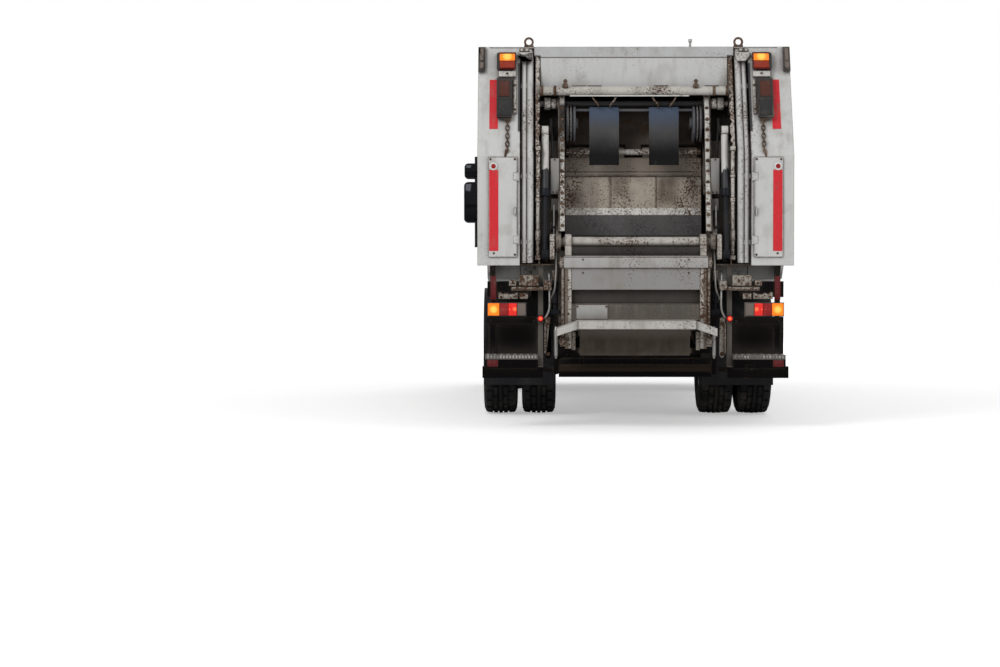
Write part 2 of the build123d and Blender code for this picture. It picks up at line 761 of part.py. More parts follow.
def rear_column():
    wall = 12
    column = side_plate(column_strip(1240, 2930, wall, 0), column_inner, tailgate_half_width)
    column += side_plate(column_strip(1240, 2930, 300, 0), column_inner, column_inner + wall)
    column += side_plate(column_strip(1240, 2930, 110, 0), tailgate_half_width - wall, tailgate_half_width)
    column += side_plate(column_strip(1240, 1252, 300, 0), column_inner, skin_outer - 20)
    column += side_plate(column_strip(1240, 1252, 110, 0), skin_outer, tailgate_half_width)
    # Cover plate
    column += side_plate(column_strip(1305, 2060, 0, -14), 897, 1115)
    # The roof of the tailgate lies on the inner part
    column -= side_plate(((tailgate_front, 2848), (-3100, 2924.7), (-3100, 3100), (tailgate_front, 3100)),
                         column_inner - 5, skin_outer - 20)
    return column


def recess_panels():
    # The panel behind the lift cylinders, and the bracket ribs that carry the cross tubes
    panel = side_plate(column_strip(1240, 2898, 300, 290), cheek_outer, column_inner)
    panel += side_plate(column_strip(2390, 2898, 290, 30), 724, 736)
    panel += span_box((cheek_outer + 20, column_inner), (-3360, -3130), (1240, 1252))
    panel += side_plate(column_strip(1240, 1330, 290, 60), 724, 736)
    # Brackets of the lift cylinders' top pins
    y, z = lift_cylinder_top
    for x in (640, 716):
        panel += side_plate(((y, z - 30), (y, z + 30), (column_y(z + 30) + 292, z + 70),
                             (column_y(z - 30) + 292, z - 60)), x, x + 14)
        panel += bar_x(y, z, 30, x, x + 14)
    panel += bar_x(y, z, 16, 640, 730)
    return both_sides(panel)


def column_tubes():
    # Bent guard tubes that follow the columns, clamped to their inner walls
    tubes = Part()
    lift = 45
    path_points = [(column_y(z) + lift, z) for z in (1260, 2070, 2900)]
    # Distance from the middle, radius
    for x, radius in ((846, 19), (800, 25)):
        path = Plane.YZ.offset(x) * FilletPolyline(*path_points, radius=220)
        start = Plane(origin=(x, path_points[0][0], path_points[0][1]), z_dir=(0, 0, 1))
        tubes += sweep(start * Circle(radius), path=path)
    for z in (1400, 1900, 2600):
        tubes += side_plate(column_strip(z, z + 36, lift + 16, lift - 10), 790, column_inner)
    return tubes


def tailgate_roof():
    wall = 12
    rear_y, rear_z = -2978, 2918
    roof = side_plate(((tailgate_front, 2848), (tailgate_front, 2860), (rear_y, rear_z + 12),
                       (rear_y, rear_z)), -(skin_outer - 20), skin_outer - 20)
    # Apron above the opening: an upright strip with a crease, then the lower panel
    roof += side_plate(((-2978, 2918), (-2978, 2930), (-2990, 2930), (-3012, 2862), (-3002, 2855)), -770, 770)
    lower = ((-3002, 2862), (-3012, 2862), (-3068, 2612), (-3048, 2600), (-3048, 2612), (-3000, 2855))
    roof += side_plate(lower, -720, 720)
    # Hinge arms on the body's pins
    y, z = tailgate_hinge
    for side in (-1, 1):
        arm = side_plate(((y, z + 38), (y, z - 38), (-1760, 2852), (-2050, 2868), (-2050, 2880), (-1800, 2935)),
                         687, 733)
        arm += bar_x(y, z, 38, 687, 733)
        arm -= bar_x(y, z, 20 + pin_play, 680, 740)
        roof += on_side(arm, side)
    roof += bar_z(440, -2930, 9, 2920, 2970) + bar_z(440, -2930, 15, 2970, 2992)
    return roof


def lifting_eyes():
    # Rings over the columns' inner edges, on flat feet
    x, y_from, y_to, z = 810, -2972, -2950, 2968
    eye = front_plate(((x - 38, 2930), (x + 38, 2930), (x + 30, z), (x - 30, z)), y_from, y_to)
    eye += bar_y(x, z, 38, y_from, y_to)
    eye -= bar_y(x, z, 22, y_from - 5, y_to + 5)
    return both_sides(eye)


def hopper_cheek():
    centre_y, centre_z = trough_centre
    lip = (centre_y - trough_radius, centre_z)
    low = (centre_y, centre_z - trough_radius)
    meet = sqrt(trough_radius ** 2 - (centre_z - 1080) ** 2)
    front = (centre_y + meet, 1080)
    half_way = (centre_y + trough_radius * cos(radians(-61)), centre_z + trough_radius * sin(radians(-61)))
    edges = [ThreePointArc(lip, (centre_y - trough_radius * 0.7071, centre_z - trough_radius * 0.7071), low),
             ThreePointArc(low, half_way, front),
             Line(front, (tailgate_front, 1080)), Line((tailgate_front, 1080), (tailgate_front, 2848)),
             Line((tailgate_front, 2848), (-2972, 2917)), Line((-2972, 2917), (-2990, 2855)),
             Line((-2990, 2855), (-3036, 2600)), Line((-3036, 2600), (-3160, 2400)),
             Line((-3160, 2400), (-3250, 2000)), Line((-3250, 2000), (-3400, 1500)),
             Line((-3400, 1500), lip)]
    cheek = extrude(Plane.YZ.offset(cheek_inner) * make_face(Curve() + edges), amount=cheek_outer - cheek_inner)
    # Bearing lug of the bin lift
    y, z = lift_pivot
    lug = side_plate(((-3260, 1560), (-3440, 1490), (-3500, 1430), (-3470, 1365), (-3330, 1300)),
                     cheek_outer, cheek_outer + 18)
    lug += bar_x(y, z, 62, cheek_inner, cheek_outer + 18)
    cheek += lug
    cheek -= bar_x(y, z, 30 + pin_play, 500, 700)
    cheek -= bar_x(*shaft_centre, 44 + pin_play, 500, 700)
    return cheek


def hopper_trough():
    centre_y, centre_z = trough_centre

    def at(radius, angle):
        return (centre_y + radius * cos(radians(angle)), centre_z + radius * sin(radians(angle)))

    outer, inner, lip_angle = trough_radius, trough_radius - trough_wall, 190
    front_outer = -degrees(atan2(400, sqrt(outer ** 2 - 400 ** 2)))
    front_inner = -degrees(atan2(385, sqrt(inner ** 2 - 385 ** 2)))
    start = at(outer, front_outer)
    start_inner = at(inner, front_inner)
    shell = make_face(Curve() + [
        ThreePointArc(at(outer, lip_angle), at(outer, 260), start),
        Line(start, (tailgate_front, 1080)),
        Line((tailgate_front, 1080), (tailgate_front, 1095)),
        Line((tailgate_front, 1095), start_inner),
        ThreePointArc(start_inner, at(inner, 260), at(inner, lip_angle)),
        Line(at(inner, lip_angle), at(outer, lip_angle))])
    trough = extrude(Plane.YZ.offset(-cheek_inner) * shell, amount=2 * cheek_inner)
    # Stiffening bands round the outside
    for angle_from, angle_to in ((205, 213), (250, 258), (295, 303)):
        band = make_face(Polyline(at(outer - 2, angle_from), at(outer + 34, angle_from + 1.5),
                                  at(outer + 34, angle_to - 1.5), at(outer - 2, angle_to), close=True))
        trough += extrude(Plane.YZ.offset(-480) * band, amount=960)
    return trough


def tailgate_bulkheads():
    # Closing plates of the side cavities: front, belly and the sill over the lamps
    outer = skin_outer - 20
    plate = span_box((cheek_outer, outer), (tailgate_front - 12, tailgate_front), (1090, 2840))
    belly = ((tailgate_front, 1080), (tailgate_front, 1090), (-2300, 1090), (-3120, 1145), (-3120, 1133),
             (-2300, 1080))
    plate += side_plate(belly, cheek_outer, outer)
    plate += side_plate(((-3120, 1133), (-3120, 1240), (-3132, 1240), (-3132, 1133)), cheek_outer, outer)
    return plate


def carriage_guides():
    # Two bars on each cheek, with the carriage's pads between them
    guides = Part()
    start, end, offset, half = -370, 745, 60, 12
    for sign in (-1, 1):
        low, high = sign * offset - half, sign * offset + half
        bar = side_plate((packer_point(start, low), packer_point(start, high), packer_point(end, high),
                          packer_point(end, low)), 536, cheek_inner)
        guides += bar
    return guides


def cross_tube():
    # The upper tube with its two hooks
    tube = bar_x(column_y(2580) + 20, 2580, 34, -724, 724)
    for x in (-530, 470):
        hook = span_box((x - 16, x + 16), (column_y(2580) - 14, column_y(2580) + 24), (2600, 2650))
        tube += hook
    return tube


disc_centre = (-3010, 2338)
shaft_centre = (-3040, 2486)


def tipping_shaft():
    y, z = shaft_centre
    shaft = bar_x(y, z, 22, -724, 724)
    # Bushes: from, to, radius
    for x_from, x_to, radius in ((545, 590, 44), (598, 636, 40), (642, 690, 48)):
        shaft += both_sides(bar_x(y, z, radius, x_from, x_to))
    disc_y, disc_z = disc_centre
    # The discs' section: from, to, radius
    for x_from, x_to, radius in ((450, 466, 147), (466, 480, 118), (480, 492, 140), (492, 504, 112),
                                 (504, 520, 147), (430, 540, 45)):
        shaft += both_sides(bar_x(disc_y, disc_z, radius, x_from, x_to))
    arm = side_plate(((y - 30, z + 24), (y + 30, z + 24), (disc_y + 40, disc_z), (disc_y - 40, disc_z)), 522, 536)
    shaft += both_sides(arm)
    shaft += bar_x(y - 12, 2437, 11, -524, 524)
    return shaft


def rubber_flaps():
    # Each flap is one strip bent over the rod
    rod_y, rod_z = shaft_centre[0] - 12, 2437
    inner, thick = 12, 12
    outer = inner + thick
    foot = (rod_y - 52, 2012)
    strip = make_face(Curve() + [
        ThreePointArc((rod_y - outer, rod_z), (rod_y, rod_z + outer), (rod_y + outer, rod_z)),
        Line((rod_y + outer, rod_z), (rod_y + outer + 4, rod_z - 60)),
        Line((rod_y + outer + 4, rod_z - 60), (rod_y + inner + 4, rod_z - 60)),
        Line((rod_y + inner + 4, rod_z - 60), (rod_y + inner, rod_z)),
        ThreePointArc((rod_y + inner, rod_z), (rod_y, rod_z + inner), (rod_y - inner, rod_z)),
        ThreePointArc((rod_y - inner, rod_z), (rod_y - 30, 2230), (foot[0] + thick, foot[1])),
        Line((foot[0] + thick, foot[1]), foot),
        ThreePointArc(foot, (rod_y - 42, 2230), (rod_y - outer, rod_z))])
    flaps = Part()
    for x in (-230, 230):
        flaps += extrude(Plane.YZ.offset(x - 114) * strip, amount=228)
    return flaps


def rear_lamps():
    # Marker lamp, warning lamp and lamp box on each column: x, z, how far they stand out
    lamps = Part()
    for x, z, out in (((1147, 1200), (2733, 2926), 40), ((926, 1056), (2752, 2876), 62),
                      ((940, 1056), (2370, 2679), 60)):
        lamps += side_plate(column_strip(z[0], z[1], 0, -out), x[0], x[1])
    lamps += side_plate(column_strip(2690, 2752, 0, -20), 936, 1046)
    return both_sides(lamps)


def tail_lamps():
    cluster = span_box((827, 1124), (-3455, -3395), (855, 960))
    return both_sides(cluster)


def rear_steps():
    # Footboards below the lamps, with the frame that hangs them from the side cavities
    step = span_box((740, 1140), (-3440, -3130), (531, 561))
    step += span_box((740, 1140), (-3440, -3428), (462, 531))
    step += span_box((700, 1162), (-3428, -3368), (386, 474))
    step += span_box((740, 1135), (-3300, -3288), (561, 804))
    step += span_box((640, 1130), (-3350, -3290), (804, 850))
    for x in (700, skin_outer - 60):
        step += span_box((x, x + 40), (-3330, -3290), (462, 1240))
    step += span_box((827, 1124), (-3395, -3330), (860, 950))
    step += span_box((790, 1124), (-3410, -3330), (1000, 1120))
    step += bar_x(-3310, 447, 20, 620, 720)
    return both_sides(step)


def underrun_frame():
    frame = bar_x(-3300, 447, 34, -585, 585)
    for side in (-1, 1):
        post = span_box((585, 620), (-3340, -3260), (410, 1215))
        frame += on_side(post, side)
    # The apron under the trough
    frame += side_plate(((-3310, 553), (-3322, 553), (-3342, 753), (-3330, 753)), -420, 420)
    for z in (570, 700):
        frame += span_box((-585, 585), (-3318, -3278), (z, z + 40))
    return frame


# Packer

def carriage():
    half = 526
    hinge_y, hinge_z = packer_hinge
    low, high = 60, 500
    plate = side_plate((packer_point(low, -20), packer_point(low, 20), packer_point(high, 20),
                        packer_point(high, -20)), -half, half)
    # Ribs on the front face, and a top bar
    for x in (-500, -260, 0, 260, 480):
        plate += side_plate((packer_point(low, -20), packer_point(low + 40, -75), packer_point(high - 40, -75),
                             packer_point(high, -20)), x, x + 16)
    # Pads in the guides
    for side in (-1, 1):
        pad = side_plate((packer_point(90, -42), packer_point(90, 42), packer_point(360, 42),
                          packer_point(360, -42)), 520, 558)
        plate += on_side(pad, side)
    # Lugs round the hinge tube, and the tube
    tube = bar_x(hinge_y, hinge_z, 24, -half, half)
    for x_from, x_to in ((-60, 60), (250, 330), (-330, -250), (510, half), (-half, -510)):
        lug = side_plate((packer_point(-10, -30), packer_point(-10, 30), packer_point(low + 10, 20),
                          packer_point(low + 10, -20)), x_from, x_to)
        tube += lug + bar_x(hinge_y, hinge_z, 32, x_from, x_to)
    return plate + tube


def packer_blade():
    half = 528
    hinge_y, hinge_z = packer_hinge
    # Side outline of the blade as offsets from its hinge: the face with its lip, then the back
    face = ((-30, -44), (-34, -180), (-34, -432), (-60, -490), (-66, -650), (-36, -650), (10, -490),
            (92, -330), (70, -130), (30, -44))
    blade = side_plate([(hinge_y + y, hinge_z + z) for y, z in face], -half, half)
    # Upright strips that part the middle panel, and the ledge above it
    for x in (-176, 176):
        blade += side_plate([(hinge_y + y, hinge_z + z) for y, z in
                             ((-33, -194), (-40, -198), (-40, -430), (-33, -434))], x - 4, x + 4)
    blade += side_plate([(hinge_y + y, hinge_z + z) for y, z in
                         ((-30, -150), (-44, -158), (-44, -190), (-30, -194))], -half, half)
    # Sleeves on the hinge tube
    for x_from, x_to in ((70, 240), (340, 500), (-240, -70), (-500, -340)):
        sleeve = bar_x(hinge_y, hinge_z, 36, x_from, x_to)
        sleeve += span_box((x_from, x_to), (hinge_y - 28, hinge_y + 28), (hinge_z - 60, hinge_z - 20))
        sleeve -= bar_x(hinge_y, hinge_z, 24 + pin_play, x_from - 1, x_to + 1)
        blade += sleeve
    return blade


# Bin lift

def crank_pin():
    y, z = lift_pivot
    return (y + crank_radius * cos(radians(crank_angle)), z + crank_radius * sin(radians(crank_angle)))


def lift_arms():
    y, z = lift_pivot
    arms = bar_x(y, z, 37.5, -548, 548) + bar_x(y, z, 30, -650, 650)
    pin_y, pin_z = crank_pin()
    for side in (-1, 1):
        arm = side_plate(((y + 30, z), (y - 30, z + 20), (y - 80, z - 100), (y - 80, 766), (y - 70, 610),
                          (y - 30, 610), (y - 20, 766), (y - 20, z - 100)), 485, 535)
        arm += bar_x(y, z, 58, 485, 535)
        crank = bar_x(y, z, 58, 615, 650) + bar_x(pin_y, pin_z, 40, 615, 650)
        crank += side_plate(((y + 50, z - 30), (y - 55, z - 10), (pin_y - 40, pin_z), (pin_y + 38, pin_z - 10)),
                            615, 650)
        arms += on_side(arm + crank, side)
    return arms


def lift_panels():
    # Bent sheets between the arms, from below the tube to the comb ledge: outline as (y, z)
    y = lift_pivot[0]
    panel = side_plate(((y - 62, 1309), (y - 92, 1300), (y - 96, 1221), (y - 84, 1217), (y - 84, 1057),
                        (y - 30, 1054), (y - 30, 956), (y - 74, 948), (y - 74, 830), (y - 60, 830),
                        (y - 60, 940), (y - 18, 948), (y - 18, 1062), (y - 70, 1069), (y - 70, 1217),
                        (y - 80, 1226), (y - 76, 1290), (y - 50, 1296)), -485, 485)
    panel += span_box((-485, 485), (y - 60, y - 30), (1314, 1382))
    panel += span_box((-485, 485), (y - 62, y - 40), (1290, 1330))
    # Comb ledge with its drooping wings
    panel += span_box((-440, 440), (-vehicle_half_length, y - 20), (766, 830))
    panel -= span_box((-420, 420), (-vehicle_half_length + 14, y - 40), (760, 818))
    for side in (-1, 1):
        wing = front_plate(((440, 766), (440, 830), (600, 772), (600, 712)), -3770, y - 90)
        wing -= front_plate(((440, 750), (440, 818), (590, 764), (590, 690)), -3758, y - 102)
        panel += on_side(wing, side)
    # Blank plate at the left of the lower sheet
    panel += span_box((-450, -212), (y - 80, y - 74), (834, 944))
    return panel


def lift_barrels():
    top = lift_cylinder_top
    pin = crank_pin()
    x = lift_cylinder_x
    barrel = strut(x, along(top, pin, 34), along(top, pin, 500), 28)
    barrel += strut(x, along(top, pin, 470), along(top, pin, 505), 33)
    barrel += bar_x(top[0], top[1], 36, 659, 711)
    barrel -= strut(x, along(top, pin, 60), along(top, pin, 510), 20 + pin_play)
    barrel -= bar_x(top[0], top[1], 16 + pin_play, 650, 720)
    return both_sides(barrel)


def lift_rods():
    top = lift_cylinder_top
    pin = crank_pin()
    x = lift_cylinder_x
    length = hypot(pin[0] - top[0], pin[1] - top[1])
    rod = strut(x, along(top, pin, 300), along(top, pin, length - 20), 20)
    rod += bar_x(pin[0], pin[1], 34, 660, 710) - bar_x(pin[0], pin[1], 16, 650, 720)
    return both_sides(rod)


# Tailgate cylinders

def tail_barrels():
    base, eye, x = tail_cylinder_base, tail_cylinder_eye, tail_cylinder_x
    barrel = strut(x, along(base, eye, 30), along(base, eye, 1190), 30)
    barrel += strut(x, along(base, eye, 1150), along(base, eye, 1200), 33)
    barrel += bar_x(base[0], base[1], 40, x - 22, x + 22)
    barrel -= strut(x, along(base, eye, 90), along(base, eye, 1210), 21 + pin_play)
    barrel -= bar_x(base[0], base[1], 20 + pin_play, x - 30, x + 30)
    return both_sides(barrel)


def tail_rods():
    base, eye, x = tail_cylinder_base, tail_cylinder_eye, tail_cylinder_x
    length = hypot(eye[0] - base[0], eye[1] - base[1])
    rod = strut(x, along(base, eye, 180), along(base, eye, length - 20), 21)
    rod += bar_x(eye[0], eye[1], 38, x - 22, x + 22) - bar_x(eye[0], eye[1], 20, x - 30, x + 30)
    return both_sides(rod)


def named_parts():
    # Node name and its shape
    parts = {
        "chassis_frame": chassis_frame(),
        "engine": engine() + radiator(),
        "front_axle": front_axle() + leaf_springs(front_axle_y, 496, 60),
        "rear_axle": rear_axle() + leaf_springs(rear_axle_y, 571, 68) + drive_shaft(),
        "bumper": bumper(),
        "head_lamps": head_lamps(),
        "tow_coupling": tow_coupling(),
        "entry_steps": entry_steps(),
        "wheel_guards": mudguards() + side_guards(),
        "side_tanks": fuel_tank() + battery_box(),
        "body_floor": body_floor(),
        "body_sides": both_sides(body_side()),
        "body_roof": body_roof(),
        "body_front_wall": body_front_wall(),
        "body_rear_frame": body_rear_frame(),
        "ejector_plate": ejector_plate(),
        "cab_front": cab_front_panel() + windscreen_frame(),
        "windscreen": windscreen(),
        "cab_sides": both_sides(cab_side()),
        "cab_floor": cab_floor() + seat_bases(),
        "cab_rear_wall": cab_rear_wall(),
        "cab_roof": cab_roof(),
        "dashboard": dashboard() + steering_wheel(),
        "seats": seats(),
        "mirrors": mirrors(),
        "tailgate_skins": both_sides(tailgate_skin() + tailgate_bulkheads()),
        "rear_columns": both_sides(rear_column() + column_tubes()),
        "recess_panels": recess_panels(),
        "tailgate_roof": tailgate_roof(),
        "lifting_eyes": lifting_eyes(),
        "hopper_trough": hopper_trough(),
        "hopper_cheeks": both_sides(hopper_cheek() + carriage_guides()),
        "cross_shafts": cross_tube() + tipping_shaft(),
        "rubber_flaps": rubber_flaps(),
        "rear_lamps": rear_lamps() + tail_lamps(),
        "rear_steps": rear_steps() + underrun_frame(),
        "carriage": carriage(),
        "packer_blade": packer_blade(),
        "lift_arms": lift_arms(),
        "lift_panels": lift_panels(),
        "lift_barrels": lift_barrels(),
        "lift_rods": lift_rods(),
        "tail_barrels": tail_barrels(),
        "tail_rods": tail_rods(),
    }
    for label, side in (("left", -1), ("right", 1)):
        for name, make in (("knuckle", knuckle), ("front_rim", front_rim), ("front_tyre", front_tyre),
                           ("rear_rims", rear_rims), ("rear_tyres", rear_tyres), ("door", door),
                           ("door_glass", door_glass)):
            parts[f"{name}_{label}"] = on_side(make(), side)
    return parts


def main():
    os.makedirs("parts", exist_ok=True)
    for name, shape in named_parts().items():
        shape.label = name
        export_step(shape, f"parts/{name}.step")


if __name__ == "__main__":
    main()
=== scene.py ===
import bmesh
import bpy
from math import cos, hypot, pi, radians, sin
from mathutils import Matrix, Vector


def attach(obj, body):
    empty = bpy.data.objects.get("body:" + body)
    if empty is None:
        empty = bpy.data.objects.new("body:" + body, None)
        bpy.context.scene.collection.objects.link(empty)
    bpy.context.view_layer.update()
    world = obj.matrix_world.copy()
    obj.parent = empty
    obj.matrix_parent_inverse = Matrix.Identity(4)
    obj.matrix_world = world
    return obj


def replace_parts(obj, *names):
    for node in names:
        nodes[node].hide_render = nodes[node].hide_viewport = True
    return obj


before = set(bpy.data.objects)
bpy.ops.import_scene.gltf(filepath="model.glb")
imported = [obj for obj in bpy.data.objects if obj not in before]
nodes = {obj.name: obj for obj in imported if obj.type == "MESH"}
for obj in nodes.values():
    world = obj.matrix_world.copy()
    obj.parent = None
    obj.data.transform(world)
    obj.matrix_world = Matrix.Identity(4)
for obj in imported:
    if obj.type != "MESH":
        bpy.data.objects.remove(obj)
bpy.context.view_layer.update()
print("frame loaded:", len(nodes), "nodes")


# Shader maths: a wire is one output socket, and expressions on wires add Math nodes
class Wire:
    def __init__(self, paint, socket):
        self.paint, self.socket = paint, socket

    def maths(self, operation, first, second):
        return self.paint.add("ShaderNodeMath", {"operation": operation}, {0: first, 1: second})

    def __add__(self, other):
        return self.maths("ADD", self, other)

    def __sub__(self, other):
        return self.maths("SUBTRACT", self, other)

    def __rsub__(self, other):
        return self.maths("SUBTRACT", other, self)

    def __mul__(self, other):
        return self.maths("MULTIPLY", self, other)

    def most(self, other):
        return self.maths("MAXIMUM", self, other)

    def size(self):
        return self.maths("ABSOLUTE", self, 0)

    __radd__ = __add__
    __rmul__ = __mul__


class Paint:
    # A material: its principled shader, with patterns read from Object coordinates
    def __init__(self, name, colour, roughness=0.5, metallic=0.0, **sockets):
        self.material = bpy.data.materials.new(name)
        self.material.use_nodes = True
        self.tree = self.material.node_tree
        self.shader = self.tree.nodes["Principled BSDF"]
        self.shader.inputs["Metallic"].default_value = metallic
        for socket, value in sockets.items():
            self.shader.inputs[socket.replace("_", " ")].default_value = value
        self.place = self.add("ShaderNodeTexCoord", output="Object")
        self.paintWith(colour)
        self.give("Roughness", roughness)

    def add(self, kind, settings=None, inputs=None, output=0):
        node = self.tree.nodes.new(kind)
        for key, value in (settings or {}).items():
            setattr(node, key, value)
        for key, value in (inputs or {}).items():
            if isinstance(value, Wire):
                self.tree.links.new(value.socket, node.inputs[key])
            else:
                node.inputs[key].default_value = value
        return Wire(self, node.outputs[output])

    def give(self, socket, value):
        if isinstance(value, Wire):
            self.tree.links.new(value.socket, self.shader.inputs[socket])
        else:
            self.shader.inputs[socket].default_value = value

    def paintWith(self, colour):
        self.give("Base Color", colour if isinstance(colour, Wire) else (*colour, 1))

    def tone(self):
        # What feeds the colour so far
        return Wire(self, self.shader.inputs["Base Color"].links[0].from_socket)

    def axis(self, letter):
        return self.add("ShaderNodeSeparateXYZ", None, {0: self.place}, "XYZ".index(letter))

    def noise(self, scale, detail=5.0, stretch=(1, 1, 1), shift=0.0, rough=0.55):
        spot = self.add("ShaderNodeMapping", None, {"Vector": self.place, "Scale": stretch,
                                                    "Location": (shift, shift * 0.7, shift * 1.3)})
        return self.add("ShaderNodeTexNoise", None,
                        {"Vector": spot, "Scale": scale, "Detail": detail, "Roughness": rough})

    def cells(self, scale, feature="F1"):
        return self.add("ShaderNodeTexVoronoi", {"feature": feature}, {"Vector": self.place, "Scale": scale})

    def above(self, value, low, high):
        # 0 below low, 1 above high and smooth between; the other way round where low is more
        return self.add("ShaderNodeMapRange", {"interpolation_type": "SMOOTHSTEP"},
                        {"Value": value, "From Min": low, "From Max": high})

    def between(self, letter, low, high, fade=0.004):
        # A mask from low to high along one axis; |X| counts both sides alike
        spot = self.axis(letter[-1])
        if len(letter) > 1:
            spot = spot.size()
        return self.above(spot, low - fade, low + fade) * self.above(spot, high + fade, high - fade)

    def zone(self, spans, fade=0.004):
        # Where every span holds: letter, low, high
        mask = self.between(*spans[0], fade)
        for span in spans[1:]:
            mask = mask * self.between(*span, fade)
        return mask

    def blend(self, mask, under, over):
        tone = [value if isinstance(value, Wire) else (*value, 1) for value in (under, over)]
        return self.add("ShaderNodeMix", {"data_type": "RGBA", "clamp_factor": True},
                        {0: mask, 6: tone[0], 7: tone[1]}, 2)

    def waves(self, letters, pace):
        return [self.add("ShaderNodeMath", {"operation": "SINE"}, {0: self.axis(letter) * pace})
                for letter in letters]

    def edges(self, radius):
        # 1 on sharp edges: how far the rounded normal leans from the flat one
        rounded = self.add("ShaderNodeBevel", {"samples": 4}, {"Radius": radius})
        flat = self.add("ShaderNodeNewGeometry", output="Normal")
        same = self.add("ShaderNodeVectorMath", {"operation": "DOT_PRODUCT"}, {0: rounded, 1: flat}, "Value")
        return self.above(same, 0.995, 0.90)

    def nooks(self, distance):
        # 1 deep in corners and under ledges, from ambient occlusion: where shade falls
        light = self.add("ShaderNodeAmbientOcclusion", {"samples": 6}, {"Distance": distance}, "AO")
        return self.above(light, 0.95, 0.25)

    def bump(self, height, strength, distance):
        sockets = {"Height": height, "Strength": strength, "Distance": distance}
        self.give("Normal", self.add("ShaderNodeBump", None, sockets, "Normal"))


dirtColours = {"streak": (0.23, 0.205, 0.175), "grimeAndShade": (0.115, 0.10, 0.085), "rust": (0.105, 0.052, 0.028),
               "darkRust": (0.04, 0.028, 0.022), "dust": (0.36, 0.33, 0.29)}


def wornPaint(name, colour, chips=0.3, dirt=0.5, grimeAndShade=0.6, roughness=0.42, bands=(), heavy=None,
              smooth=(), stains=(), shine=0.3):
    # Painted steel with vertical dirt streaks, dirt and painted shade in the nooks, chipped edges and rust
    # specks.
    # bands: colour, spans. heavy: how many more chips, span. smooth: colour, spans of what isn't chipped,
    # laid over flat: worn smooth steel, and bands of painted shade.
    # stains: colour, spans of soft dark patches
    paint = Paint(name, colour, roughness, Specular_IOR_Level=shine)
    tone = paint.blend(paint.noise(1.6, 3), [c * 0.90 for c in colour], [min(c * 1.06, 0.9) for c in colour])
    for bandColour, *spans in bands:
        tone = paint.blend(paint.zone(spans), tone, bandColour)
    for stainColour, *spans in stains:
        cloud = paint.zone(spans, 0.045) * (paint.noise(9, 5, (1, 1, 0.5)) * 1.5)
        tone = paint.blend(cloud, tone, stainColour)
    streaks = paint.above(paint.noise(2.2, 5, (7, 7, 0.55), 3.0), 0.46, 0.74)
    blots = paint.above(paint.noise(5.5, 6, (1, 1, 1), 9.0), 0.50, 0.68)
    tone = paint.blend((streaks * 0.55 + blots * 0.45) * dirt, tone, dirtColours["streak"])
    # Ambient occlusion darkens the nooks: dirt that collects there, and painted shade
    nooks = paint.nooks(0.13) * (0.6 + paint.noise(9, 4) * 0.9)
    tone = paint.blend(nooks * grimeAndShade, tone, dirtColours["grimeAndShade"])
    fine = paint.noise(72, 7, (1, 1, 1), 5.0, 0.72)
    patches = paint.noise(3.4, 3, (1, 1, 0.6), 2.0)
    spots = fine + patches * 0.55 + chips * 0.16
    if heavy:
        spots = spots + paint.zone(heavy[1:], 0.02) * (heavy[0] * 0.16)
    specks = paint.above(spots, 1.01, 1.04)
    rub = paint.above(paint.edges(0.008) * (0.25 + chips * 0.6) + paint.noise(30, 6, (1, 1, 1), 7.0) * 0.8,
                      0.64, 0.72)
    worn = specks.most(rub)
    halo = paint.above(spots, 0.90, 1.03)
    tone = paint.blend(halo * 0.45, tone, dirtColours["streak"])
    rust = paint.blend(paint.noise(24, 4), dirtColours["darkRust"], dirtColours["rust"])
    tone = paint.blend(worn, tone, rust)
    # Flat overlays without chips: worn smooth steel, and near-black bands of painted shade
    for smoothColour, *spans in smooth:
        overlaidTone = paint.blend(paint.noise(7, 5, (1, 1, 0.5)), [c * 0.7 for c in smoothColour],
                             [c * 1.5 for c in smoothColour])
        tone = paint.blend(paint.zone(spans) * 0.93, tone, overlaidTone)
    paint.paintWith(tone)
    paint.give("Roughness", roughness + worn * 0.4 + nooks * 0.2)
    paint.bump(paint.noise(60, 3) * 0.15 - worn * 0.6, 0.35, 0.0012)
    return paint


def workSteel(name, colour, rust=0.5, metallic=0.5, roughness=0.5, shine=0.3):
    # Bare or dark steel that refuse has scraped, with rust and greasy dirt
    paint = Paint(name, colour, roughness, metallic, Specular_IOR_Level=shine)
    tone = paint.blend(paint.noise(3.0, 5), [c * 0.65 for c in colour], [c * 1.3 for c in colour])
    scrapes = paint.above(paint.noise(5, 6, (14, 1.5, 0.8), 1.0), 0.60, 0.72)
    tone = paint.blend(scrapes * 0.4, tone, [min(c * 2.6 + 0.03, 0.6) for c in colour])
    scale = paint.above(paint.noise(7, 8, (1, 1, 1), 4.0, 0.7), 0.60 - rust * 0.2, 0.74 - rust * 0.2)
    browns = paint.blend(paint.noise(30, 4), dirtColours["darkRust"], dirtColours["rust"])
    tone = paint.blend(scale * 0.8, tone, browns)
    tone = paint.blend(paint.nooks(0.08) * 0.6, tone, dirtColours["darkRust"])
    paint.paintWith(tone)
    paint.give("Roughness", roughness + scale * 0.35)
    paint.bump(scale * 0.5 + paint.noise(90, 4) * 0.3, 0.35, 0.001)
    return paint


def moulded(name, colour, roughness=0.55, dust=0.3):
    # Grained plastic or rubber with patches of dust
    paint = Paint(name, colour, roughness, Specular_IOR_Level=0.07)
    tone = paint.blend(paint.noise(2.5, 4), [c * 0.8 for c in colour], [c * 1.25 for c in colour])
    dusty = paint.above(paint.noise(4.5, 6, (1, 1, 0.7), 6.0), 0.45, 0.8)
    tone = paint.blend(dusty * dust, tone, dirtColours["dust"])
    paint.paintWith(tone)
    paint.give("Roughness", roughness + dusty * 0.25)
    paint.bump(paint.cells(700), 0.12, 0.0006)
    return paint


lensRibs = 160  # a metre


